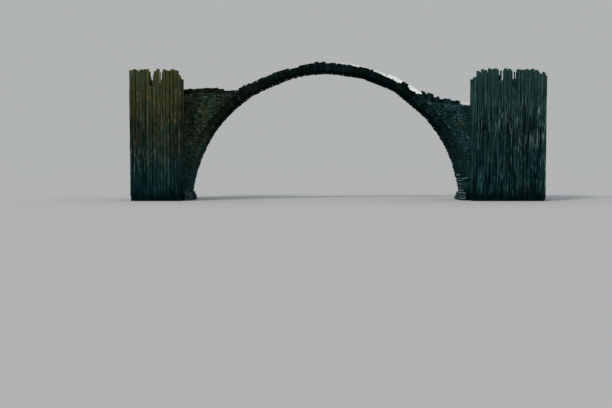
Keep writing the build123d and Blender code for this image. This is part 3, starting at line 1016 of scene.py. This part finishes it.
# How high the front edge stones stand over the ring's back
EDGE_LINE = ((-37.0, 0.20), (-34.0, 0.22), (-31.0, 0.11), (-29.0, 0.08), (-27.2, 0.13),
             (-25.5, 0.07), (-22.0, 0.08), (-20.0, 0.11), (-17.5, 0.065), (-14.5, 0.04),
             (-12.8, 0.07), (-11.5, 0.04), (-9.8, 0.02), (-8.6, 0.03), (-4.95, 0.05),
             (-4.9, 0.19), (-3.3, 0.19), (-3.25, 0.10), (-1.95, 0.10), (-1.9, 0.15),
             (-0.4, 0.15), (-0.35, 0.05), (1.0, 0.05), (3.5, 0.10), (6.0, 0.07), (8.6, 0.12),
             (10.0, 0.075), (12.5, 0.085), (12.6, 0.15), (14.6, 0.14), (15.4, 0.10),
             (16.5, 0.16), (18.4, 0.16), (19.0, 0.05), (21.0, 0.10), (23.0, 0.04),
             (24.5, -0.01), (30.4, -0.01), (30.5, 0.20), (33.45, 0.22), (33.5, 0.0),
             (37.0, 0.0))
# The angles where front edge stones have to meet, and where the back's tall ones stand
EDGE_JOINTS = (-4.9, -3.3, -1.9, -0.4, 12.6, 14.6, 18.6, 24.4, 30.5, 33.45)
TALL_EDGES = (-12.0, 4.0, 19.0)
# Where the stones beside the level path meet and how high their tops are, along the bridge
VERGE_JOINTS = (5.44, -6.66, -6.40, 5.17, 5.30, 5.71, 5.84, 6.24, 6.46, 6.62, 7.95)
BARE_VERGE = ((5.06, 6.92), (5.25, 6.92), (5.44, 6.88))
BARE_VERGE_TOP = ((5.06, 7.20), (5.16, 7.17), (5.25, 7.07), (5.44, 6.99))
BARE_VERGE_SLOPE = -0.5
VERGE_TOP = {
    "left": ((-10.4, 7.18), (-9.9, 7.20), (-8.4, 7.30), (-7.69, 7.30), (-7.50, 7.20),
             (-7.30, 7.16), (-7.11, 7.09), (-6.91, 7.17), (-6.72, 7.09), (-6.52, 7.11),
             (-6.33, 7.28), (-6.13, 7.38)),
    "right": ((5.06, 6.98), (5.25, 6.90), (5.43, 6.87), (5.44, 7.05), (5.70, 7.08),
              (5.71, 6.90), (5.84, 6.90), (5.85, 7.00), (6.03, 6.98), (6.20, 6.86),
              (6.29, 6.67), (6.45, 6.67), (6.46, 6.76), (6.62, 6.76), (6.63, 6.57),
              (6.94, 6.60), (7.13, 6.65), (7.26, 6.58), (7.46, 6.45), (7.65, 6.49),
              (7.94, 6.45), (7.95, 6.20), (9.2, 6.12)),
}
APPROACH_RISE = 0.13
# A pale heap on the right stretch of the path, near white as a painted sky highlight: its start,
# its end, its height and its tones
HIGHLIT_HEAP = (7.9, 8.8, 0.20, (1.0, 1.2))


def is_bare(angle):
    """Whether the front edge stones are gone at an angle."""
    return any(start < angle < end for start, end in BARE_EDGES)


def lay_bare_edge(heap, a0, a1, inner, pale, chance):
    """Worn path stones that reach out over the face of the arch where its edge stones are gone,
    near white with a painted sky highlight.
    """
    s = sizes()
    cuts = split(a0, a1, math.degrees(BARE_STONE / s.arch_radius), chance, spread=0.45)
    for b0, b1, middle in stretches(cuts):
        back = s.arch_radius + ring_depth(middle)
        foot = back + on_line(BARE_FOOT, middle) + chance.uniform(-0.035, 0.025)
        top = back + on_line(PATH_LINE, middle) + chance.uniform(-0.03, 0.015)
        ring_block(heap, b0, b1, foot, top, -FACE_Y - OVERHANG, inner, chance, SHUT,
                   pale + chance.uniform(-0.2, 0.1))


def lay_path_on_arch(node, a0, a1, pale):
    """Courses of path stones over the arch, each course split across the path."""
    s = sizes()
    chance, heap, _, high = begin(node)
    cuts = split(a0, a1, math.degrees(s.path_stone / (s.arch_radius + 0.4)), chance, spread=0.3)
    cuts = with_joints(cuts, [angle for bare in BARE_EDGES for angle in bare], gap=0.5)
    for b0, b1, middle in stretches(cuts):
        back = s.arch_radius + ring_depth(middle)
        top = back + on_line(PATH_LINE, middle)
        across = split(-high.y, high.y, s.path_stone * PATH_WIDTH, chance, spread=0.35)
        for y0, y1 in pairs(across):
            in_front = y0 == -high.y
            if in_front and is_bare(middle):
                lay_bare_edge(heap, b0, b1, y1, pale, chance)
                continue
            # Front stones take the near-white tone of the painted sky highlight
            tone = pale + chance.uniform(-0.15, 0.15) if in_front else chance.uniform(*PATH_TONES)
            ring_block(heap, b0, b1, back - SEAT, top + chance.uniform(*TOP_WEAR), y0, y1,
                       chance, s.joint * 0.5, tone)
    add_backing(heap, node, depth=0.04, stays=ring_ends_stay)
    finish(node.replace("path", "stones_path"), heap, "path", node)


def worn_faces(y0, y1, chance):
    """Two places across the bridge, each a little inside the one that is given."""
    return y0 + chance.uniform(0, 0.04), y1 - chance.uniform(0, 0.04)


def lay_edge_on_arch(node, a0, a1):
    """A row of rough edge stones beside the path over the arch, taller at a few places."""
    s = sizes()
    chance, heap, low, high = begin(node)
    front = high.y < 0
    cuts = split(a0, a1, math.degrees(s.edge_stone / s.arch_radius), chance, spread=0.45)
    if front:
        cuts = with_joints(cuts, EDGE_JOINTS, gap=0.7)
    for b0, b1, middle in stretches(cuts):
        back = s.arch_radius + ring_depth(middle)
        if front and is_bare(middle):
            continue
        if front:
            rise = on_line(EDGE_LINE, middle) + chance.uniform(*TOP_WEAR)
        elif any(b0 <= angle < b1 for angle in TALL_EDGES):
            rise = s.edge_rise_tall
        else:
            rise = s.edge_rise + chance.uniform(-0.03, 0.015)
        ring_block(heap, b0, b1, back - SEAT, back + rise, *worn_faces(low.y, high.y, chance),
                   chance, s.joint, ARCH_EDGE_TONE * tone_of("edge", chance))
    if not (front and "right" in node):
        add_backing(heap, node, depth=0.05, stays=ring_ends_stay)
    finish(node.replace("edge", "stones_edge"), heap, "edge", node)


def level_block(heap, x0, x1, y0, y1, foot, rise, slope, chance, joint, tone):
    """Adds a stone on sloping ground; foot is the ground's height at its middle, rise its own."""
    x0, x1 = x0 + joint / 2, x1 - joint / 2
    y0, y1 = y0 + joint / 2, y1 - joint / 2
    fall = slope * (x1 - x0) / 2
    tilt = chance.gauss(0, 0.012)
    tops = (foot + rise - 0.6 * fall - tilt, foot + rise + 0.6 * fall + tilt)
    heap.add_block(corners_of(x0, x1, y0, y1, (foot - fall, foot + fall), tops), chance, tone)


def lay_approach(side):
    """Path stones on the level stretch beside the arch, wider between the towers."""
    s = sizes()
    node = f"path_{side}_approach"
    chance, heap, low, high = begin(node)
    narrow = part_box("path_crown")[1].y
    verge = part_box(f"edge_{side}_approach_front")
    deck = deck_line(side)
    heap_start, heap_end, heap_rise, highlight_tones = HIGHLIT_HEAP
    cuts = split(low.x, high.x, s.path_stone, chance, spread=0.3)
    cuts = with_joints(cuts, VERGE_JOINTS, gap=0.1)
    for x0, x1, middle in stretches(cuts):
        half = narrow if verge[0].x <= middle <= verge[1].x else FACE_Y
        across = split(-half, half, s.path_stone * PATH_WIDTH, chance, spread=0.35)
        for y0, y1 in pairs(across):
            top = APPROACH_RISE + chance.uniform(-0.03, 0.02)
            tone = tone_of("path", chance)
            if side == "right" and heap_start < middle < heap_end:
                top, tone = heap_rise, chance.uniform(*highlight_tones)
            # The bare front stones at the start of the right approach are near white, a painted sky
            # highlight
            if side == "right" and middle < VERGE_JOINTS[0] and y0 == -half:
                foot, top = on_line(BARE_VERGE, middle), on_line(BARE_VERGE_TOP, middle)
                level_block(heap, x0, x1, -FACE_Y - OVERHANG, y1, foot, top - foot,
                            BARE_VERGE_SLOPE, chance, SHUT, chance.uniform(0.9, 1.2))
                continue
            level_block(heap, x0, x1, y0, y1, on_line(deck, middle) - PATH_BED, top + PATH_BED,
                        slope_at(deck, middle), chance, s.joint * 0.7, tone)
    add_backing(heap, node, depth=0.045, stays=ends_stay)
    finish(f"stones_{node}", heap, "path", node)


def lay_verge(side, face):
    """A row of larger edge stones beside the level path."""
    s = sizes()
    node = f"edge_{side}_approach_{face}"
    chance, heap, low, high = begin(node)
    deck = deck_line(side)
    cuts = split(low.x, high.x, s.edge_stone, chance, spread=0.45)
    cuts = with_joints(cuts, VERGE_JOINTS, gap=0.12)
    for x0, x1, middle in stretches(cuts):
        ground = on_line(deck, middle)
        if face == "front" and side == "right" and middle < VERGE_JOINTS[0]:
            rise = on_line(BARE_VERGE, middle) - ground
        elif face == "front":
            rise = on_line(VERGE_TOP[side], middle) - ground + chance.uniform(-0.02, 0.02)
        else:
            rise = chance.uniform(0.10, 0.26) * min(1.0, 0.1 + abs(middle - DECK_START[side]) / 1.2)
        level_block(heap, x0, x1, *worn_faces(low.y, high.y, chance), ground - SEAT,
                    SEAT + max(-0.02, rise), slope_at(deck, middle), chance, s.joint,
                    VERGE_TONE * tone_of("edge", chance))
    if face == "back":
        add_backing(heap, node, depth=0.07, stays=ends_stay)
    finish(f"stones_{node}", heap, "edge", node)


# The stones at the feet

LEFT_FOOT_TONE = 0.35  # How dark the left foot's boulders are, of the usual
FOOT_COURSES = (0.13, 0.24)
BOULDER = 0.34
SLAB = 0.40
# The two layers of a course of slabs: where each begins and ends in it, its depth and its tones
# The pale outer slabs are partly pale stone, partly painted glints of wet stone
SLAB_LAYERS = ((0.0, 0.45, 0.72, (0.0, 0.15)), (0.45, 1.0, 1.0, (0.25, 1.05)))
STUB_DEPTH = 0.24


def soffit_at(wall, sign, level):
    """Where the soffit stands at a low level above the water."""
    return wall + sign * (-0.02 * level - 0.045 * level * level)


def lay_foot_stones(side):
    """Stones piled against the soffit at one foot of the arch: boulders, or slabs at the right."""
    node = f"foot_stones_{side}"
    chance, heap, low, high = begin(node)
    wall = low.x if side == "left" else high.x
    level = 0.0
    while level < high.z - 0.05:
        height = chance.uniform(*FOOT_COURSES)
        depth = (high.x - low.x) * (1.0 - 0.75 * level / high.z)
        # Drawn at both feet, though only the boulders use them, to keep the order of the draws
        cuts = split(low.y, high.y, BOULDER, chance, spread=0.45)
        if side == "right":
            lay_slab_course(heap, wall, low.y, high.y, level, level + height, depth, chance)
        else:
            for y0, y1 in pairs(cuts):
                out = depth * chance.uniform(0.7, 1.0)
                x0 = soffit_at(wall, -1, level)
                top = min(level + height * chance.uniform(0.9, 1.2), high.z)
                corners = corners_of(x0, x0 + out, y0, y1, (level, level), (top, top))
                heap.add_block(corners, chance, tone_of("foot", chance) * LEFT_FOOT_TONE)
        level += height
    add_backing(heap, node, depth=0.05)
    finish(f"boulders_{side}_foot", heap, "foot", node)


def lay_slab_course(heap, wall, y0, y1, low, high, depth, chance):
    """A course of flat pale slabs at the right foot, on darker stones that are set back."""
    back = soffit_at(wall, 1, low)
    for start, end, share, tones in SLAB_LAYERS:
        foot, top = low + (high - low) * start, low + (high - low) * end
        cuts = split(y0, y1, SLAB, chance, spread=0.45)
        for v0, v1 in pairs(cuts):
            out = depth * share * chance.uniform(0.75, 1.0)
            corners = corners_of(back - out, back, v0, v1, (foot, foot), (top, top))
            heap.add_block(corners, chance, chance.uniform(*tones))


def lay_footing(side, face):
    """Broken column stubs and rubble at the water line under a tower."""
    s = sizes()
    node = f"footing_{side}_{face}"
    chance, heap, low, high = begin(node)
    front = face == "front"
    outer = (low.y, low.y + STUB_DEPTH) if front else (high.y - STUB_DEPTH, high.y)
    inner = (outer[1], high.y) if front else (low.y, outer[0])
    cuts = split(low.x, high.x, s.stub, chance, spread=0.4)
    for x0, x1 in pairs(cuts):
        add_stub(heap, x0, x1, *outer, high.z, front, chance)
    for x0, x1 in ((low.x, low.x + STUB_DEPTH), (high.x - STUB_DEPTH, high.x)):
        cuts = split(*inner, s.stub, chance, spread=0.3)
        for y0, y1 in pairs(cuts):
            add_stub(heap, x0, x1, y0, y1, high.z, front, chance)
    add_backing(heap, node, depth=0.05)
    finish(f"stubs_{side}_{face}", heap, "column", node)


def add_stub(heap, x0, x1, y0, y1, top, front, chance):
    """Adds one upright stub between two places along and two across."""
    wear = chance.uniform(0.0, 0.04)
    y0, y1 = (y0 + wear, y1) if front else (y0, y1 - wear)
    corners = corners_of(x0, x1, y0, y1, (0.0, 0.0), (top, top))
    heap.add_block(corners, chance, tone_of("stub", chance))


# The basalt columns

CHIP = 0.02  # How high a drum's chipped rims are
CHIPPED = 0.90  # How wide they are, of the drum's own width
WAISTS = (0.35, 0.68)  # Where a drum's width changes, as shares of its height
WAIST_WIDTHS = (0.965, 1.01)
DRUM_WIDTHS = (0.90, 0.98)
DRUM_SHIFT = 0.005
EDGE_WEAR = (0.975, 1.0)
TOP_SLOPES = {True: 0.35, False: 0.03}  # How steep broken tops are, and cracks
BROKEN_SHARE = 0.3  # The share of corners of a broken top that lie lower, and by how much
BROKEN_DEPTHS = (0.01, 0.06)
SHEEN_FACE_TONES = (0.40, 0.75)
DRUM_LENGTHS = (0.45, 0.7, 1.0, 1.0, 1.5, 2.1)  # As shares of the usual length
DRUM_SPREAD = (0.8, 1.2)
CRACK = 0.002  # Half the width of a crack
SUNKEN_STARTS = (0.04, 0.36)  # How far under its foot a column's first drum begins
LONGEST_HIDDEN = 1.6  # A longer hidden column is one piece up to its top drum
HIDDEN_TOPS = (0.5, 1.2)
SHORTEST_TOP = 0.30  # A shorter last piece joins the one below it
SLIT_SIDES = ((-0.42, -0.08), (0.08, 0.42))  # Where the columns beside a slit stand
SLIT_DEPTH = 0.45
END_COLUMNS = 0.35  # How near a tower's end a column stands that can be seen from there


def column_outlines(node):
    """The outline, foot and top of every column in a CAD node, read from its loose triangles."""
    shell = bmesh.new()
    shell.from_mesh(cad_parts[node].data)
    bmesh.ops.remove_doubles(shell, verts=shell.verts, dist=0.00005)
    shell.verts.ensure_lookup_table()
    seen = set()
    columns = []
    for start in shell.verts:
        if start.index in seen:
            continue
        group, queue = [], [start]
        seen.add(start.index)
        while queue:
            vert = queue.pop()
            group.append(vert.co.copy())
            for edge in vert.link_edges:
                other = edge.other_vert(vert)
                if other.index not in seen:
                    seen.add(other.index)
                    queue.append(other)
        foot = min(p.z for p in group)
        top = max(p.z for p in group)
        ring = [(p.x, p.y) for p in group if p.z < foot + 0.001]
        cx, cy = centre(ring)
        ring.sort(key=lambda p: math.atan2(p[1] - cy, p[0] - cx))
        columns.append((ring, foot, top))
    shell.free()
    columns.sort(key=lambda c: (round(c[0][0][0], 3), round(c[0][0][1], 3)))
    return columns


def add_drum(heap, ring, z0, z1, chance, tone, last, fine):
    """Adds one length of column between two cracks, its ends chipped; the last has a broken top."""
    cx, cy = centre(ring)
    shrink = chance.uniform(*DRUM_WIDTHS)
    dx, dy = chance.gauss(0, DRUM_SHIFT), chance.gauss(0, DRUM_SHIFT)
    outline = [(cx + (x - cx) * shrink + dx, cy + (y - cy) * shrink + dy) for x, y in ring]
    chip = min(CHIP, (z1 - z0) * 0.2)
    levels = [(z0, CHIPPED), (z0 + chip, 1.0)]
    if fine:
        levels += [(z0 + (z1 - z0) * share, chance.uniform(*WAIST_WIDTHS)) for share in WAISTS]
    levels += [(z1 - chip, 1.0), (z1, CHIPPED)]
    slope_x, slope_y = (chance.gauss(0, TOP_SLOPES[last]) for _ in range(2))
    count = len(outline)
    points = []
    for number, (z, share) in enumerate(levels):
        for x, y in outline:
            u, v = x - cx, y - cy
            worn = share * (chance.uniform(*EDGE_WEAR) if 0 < number < len(levels) - 1 else 1.0)
            level = z
            if number >= len(levels) - 2:
                level += min(0.0, slope_x * u + slope_y * v - 0.05 * (abs(slope_x) + abs(slope_y)))
                if last and chance.random() < BROKEN_SHARE:
                    level -= chance.uniform(*BROKEN_DEPTHS)
            points.append((cx + u * worn, cy + v * worn, level))
    tones = [held(tone + chance.gauss(0, FACE_SPREAD)) for _ in range(count)]
    # A share of faces is made pale: partly lichen, partly a painted highlight of the sky
    for i in range(count):
        if chance.random() < sizes().sheen_face_share:
            tones[i] = chance.uniform(*SHEEN_FACE_TONES)
    faces = side_faces(len(levels), count)
    faces += [tuple(reversed(range(count))), tuple(range(len(points) - count, len(points)))]
    heap.add(points, faces, tones * (len(levels) - 1) + [tone, tone])


def beside_slit(columns, ring, top):
    """How high the columns stand on both sides of a slit, or None where a column is in no slit."""
    x = centre(ring)[0]
    height = min(max((t for r, _, t in columns if near < centre(r)[0] - x < far), default=0.0)
                 for near, far in SLIT_SIDES)
    return height if height - top > SLIT_DEPTH else None


def add_shards(heap, ring, foot, top, chance):
    """Two thin upright shards that narrow a slit from both sides."""
    x = centre(ring)[0]
    half = max(p[0] for p in ring) - x
    for way in (-1, 1):
        shard = [(x + way * 0.72 * half + (p[0] - x) * 0.28, p[1]) for p in ring]
        end = top - chance.uniform(0.03, 0.22)
        add_drum(heap, shard, foot - 0.1, end, chance, chance.uniform(0.05, 0.25), True, True)


def raise_columns(side, face, group):
    """A group of upright basalt columns, each broken across into drums of its own lengths."""
    s = sizes()
    node = f"columns_{side}_{face}_{group}"
    chance, heap, low, high = begin(node)
    columns = column_outlines(node)
    for ring, foot, top in columns:
        slit_top = beside_slit(columns, ring, top) if group == "outer" else None
        if slit_top:
            add_shards(heap, ring, top, slit_top, chance)
        middle = centre(ring)[0]
        fine = group != "heart" or min(middle - low.x, high.x - middle) < END_COLUMNS
        own_tone = tone_of(f"{side}_column", chance)
        z = foot - chance.uniform(*SUNKEN_STARTS) if fine else foot
        while z < top - 0.01:
            end = z + s.drum * chance.choice(DRUM_LENGTHS) * chance.uniform(*DRUM_SPREAD)
            if not fine and top - z > LONGEST_HIDDEN:
                end = top - chance.uniform(*HIDDEN_TOPS)
            if top - end < SHORTEST_TOP:
                end = top
            tone = held(own_tone + chance.gauss(0, 0.045))
            add_drum(heap, ring, z + CRACK, end - CRACK, chance, tone, end == top, fine)
            z = end
    finish(f"basalt_{side}_{face}_{group}", heap, "column", node, smooth=25.0)


# Operators, one for each group of pieces


class MOONBRIDGE_OT_materials(bpy.types.Operator):
    """Makes the stone finishes and the rough stones that the pieces are laid from"""
    bl_idname = "moon_bridge.materials"
    bl_label = "Stone finishes"

    def execute(self, context):
        make_materials()
        ROUGH_STONES.extend(rough_stones())
        return {"FINISHED"}


class MOONBRIDGE_OT_ring(bpy.types.Operator):
    """Lays the stones of the arch ring"""
    bl_idname = "moon_bridge.ring"
    bl_label = "Arch ring"

    def execute(self, context):
        limits = ring_limits()
        for node, a0, a1 in zip(RING_NODES, limits, limits[1:]):
            lay_ring(node, a0, a1)
        return {"FINISHED"}


class MOONBRIDGE_OT_walls(bpy.types.Operator):
    """Lays the rubble of the spandrels and the abutments"""
    bl_idname = "moon_bridge.walls"
    bl_label = "Rubble walls"

    def execute(self, context):
        for side in SIDES:
            lay_spandrel(side)
            lay_abutment(side)
        return {"FINISHED"}


class MOONBRIDGE_OT_path(bpy.types.Operator):
    """Lays the path and the edge stones beside it"""
    bl_idname = "moon_bridge.path"
    bl_label = "Path and edges"

    def execute(self, context):
        limits = ring_limits()[2:6]
        flights = list(zip(("left_flank", "crown", "right_flank"), limits, limits[1:]))
        # The front path stones of each flight are lifted towards white: a painted sky highlight
        # along the path's edge
        for (flight, start, end), pale in zip(flights, (0.9, 0.95, 1.15)):
            lay_path_on_arch(f"path_{flight}", start, end, pale)
        for face in FACES:
            for flight, start, end in flights:
                lay_edge_on_arch(f"edge_{flight}_{face}", start, end)
        for side in SIDES:
            lay_approach(side)
            for face in FACES:
                lay_verge(side, face)
        return {"FINISHED"}


class MOONBRIDGE_OT_feet(bpy.types.Operator):
    """Piles the boulders and the footing rubble at the water line"""
    bl_idname = "moon_bridge.feet"
    bl_label = "Foot stones"

    def execute(self, context):
        for side in SIDES:
            lay_foot_stones(side)
            for face in FACES:
                lay_footing(side, face)
        return {"FINISHED"}


class MOONBRIDGE_OT_columns(bpy.types.Operator):
    """Raises the basalt columns of the four towers"""
    bl_idname = "moon_bridge.columns"
    bl_label = "Basalt columns"

    def execute(self, context):
        for side in SIDES:
            for face in FACES:
                for group in ("outer", "heart", "path"):
                    raise_columns(side, face, group)
        return {"FINISHED"}


# The stage

CAMERA_FACE_DISTANCE = 50.0
CAMERA_HEIGHT = 1.95
CAMERA_SIDESTEP = -1.358
FOCAL_PIXELS = 769.0
IMAGE_WIDTH = 612
IMAGE_HEIGHT = 408
HORIZON_ROW = 170.5
SENSOR = 36.0
FLOOR_SIZE = 900.0
FAR_CLIP = 2000.0
SKY_LIGHT = (0.82, 0.87, 0.92)
SKY_STRENGTH = 0.72
BACKDROP = (0.442, 0.454, 0.455)
SUN_COLOUR = (1.0, 0.96, 0.90)
SUN_STRENGTH = 1.8
SUN_SPREAD = 20
SUN_HEIGHT_TURN = 52
SUN_SIDE_TURN = -44


def set_floor():
    """The plain floor of the studio."""
    deselect()
    bpy.ops.mesh.primitive_grid_add(x_subdivisions=2, y_subdivisions=2, size=FLOOR_SIZE)
    floor = bpy.context.object
    floor.name = "floor"
    n = Nodes("studio_floor")
    n.join((*colours().ground, 1.0), n.shader.inputs["Base Color"])
    n.shader.inputs["Roughness"].default_value = 0.9
    n.shader.inputs["Specular IOR Level"].default_value = 0.0
    floor.data.materials.append(n.material)


def set_lights(scene):
    """Soft light from all round, a plain backdrop that only the camera sees, and a soft sun."""
    world = bpy.data.worlds.new("studio_sky")
    scene.world = world
    world.use_nodes = True
    nodes, links = world.node_tree.nodes, world.node_tree.links
    light, seen = nodes["Background"], nodes.new("ShaderNodeBackground")
    for shade, shown, strength in ((light, SKY_LIGHT, SKY_STRENGTH), (seen, BACKDROP, 1.0)):
        shade.inputs["Color"].default_value = (*shown, 1.0)
        shade.inputs["Strength"].default_value = strength
    path = nodes.new("ShaderNodeLightPath")
    either = nodes.new("ShaderNodeMixShader")
    links.new(path.outputs["Is Camera Ray"], either.inputs["Fac"])
    links.new(light.outputs["Background"], either.inputs[1])
    links.new(seen.outputs["Background"], either.inputs[2])
    links.new(either.outputs["Shader"], nodes["World Output"].inputs["Surface"])
    sun = bpy.data.lights.new("soft_sun", "SUN")
    sun.energy = SUN_STRENGTH
    sun.angle = math.radians(SUN_SPREAD)
    sun.color = SUN_COLOUR
    lamp = bpy.data.objects.new("soft_sun", sun)
    lamp.rotation_euler = (math.radians(SUN_HEIGHT_TURN), 0.0, math.radians(SUN_SIDE_TURN))
    scene.collection.objects.link(lamp)


def set_camera(scene):
    """The camera in the photographer's place, low over the water."""
    lens = bpy.data.cameras.new("photo_camera")
    lens.sensor_width = SENSOR
    lens.lens = FOCAL_PIXELS / IMAGE_WIDTH * SENSOR
    lens.clip_end = FAR_CLIP
    camera = bpy.data.objects.new("photo_camera", lens)
    pitch = math.atan((IMAGE_HEIGHT / 2 - HORIZON_ROW) / FOCAL_PIXELS)
    camera.location = (ARCH_X + CAMERA_SIDESTEP, -FACE_Y - CAMERA_FACE_DISTANCE, CAMERA_HEIGHT)
    camera.rotation_euler = (math.pi / 2 - pitch, 0.0, 0.0)
    scene.collection.objects.link(camera)
    scene.camera = camera


class MOONBRIDGE_OT_stage(bpy.types.Operator):
    """Sets the floor, the lights and the camera"""
    bl_idname = "moon_bridge.stage"
    bl_label = "Stage"

    def execute(self, context):
        set_floor()
        set_lights(context.scene)
        set_camera(context.scene)
        context.scene.view_settings.view_transform = "Standard"
        return {"FINISHED"}


class MOONBRIDGE_PT_panel(bpy.types.Panel):
    """The bridge's sizes, colours and steps"""
    bl_label = "Moon Bridge"
    bl_idname = "MOONBRIDGE_PT_panel"
    bl_space_type = "VIEW_3D"
    bl_region_type = "UI"
    bl_category = "Moon Bridge"

    def draw(self, context):
        for group in (context.scene.moon_bridge_sizes, context.scene.moon_bridge_colours):
            for name in group.bl_rna.properties.keys():
                if name not in ("rna_type", "name"):
                    self.layout.prop(group, name)
        for step in STEPS:
            self.layout.operator(step.bl_idname)


STEPS = (MOONBRIDGE_OT_materials, MOONBRIDGE_OT_ring, MOONBRIDGE_OT_walls, MOONBRIDGE_OT_path,
         MOONBRIDGE_OT_feet, MOONBRIDGE_OT_columns, MOONBRIDGE_OT_stage)
CLASSES = (BridgeSizes, BridgeColours, *STEPS, MOONBRIDGE_PT_panel)


def register():
    """Adds the bridge's settings, steps and panel."""
    for cls in CLASSES:
        bpy.utils.register_class(cls)
    bpy.types.Scene.moon_bridge_sizes = PointerProperty(type=BridgeSizes)
    bpy.types.Scene.moon_bridge_colours = PointerProperty(type=BridgeColours)


def unregister():
    """Takes them away again."""
    del bpy.types.Scene.moon_bridge_colours
    del bpy.types.Scene.moon_bridge_sizes
    for cls in reversed(CLASSES):
        bpy.utils.unregister_class(cls)


def main():
    """Makes the whole bridge."""
    register()
    bpy.ops.moon_bridge.materials()
    bpy.ops.moon_bridge.ring()
    bpy.ops.moon_bridge.walls()
    bpy.ops.moon_bridge.path()
    bpy.ops.moon_bridge.feet()
    bpy.ops.moon_bridge.columns()
    bpy.ops.moon_bridge.stage()


if __name__ == "__main__":
    main()
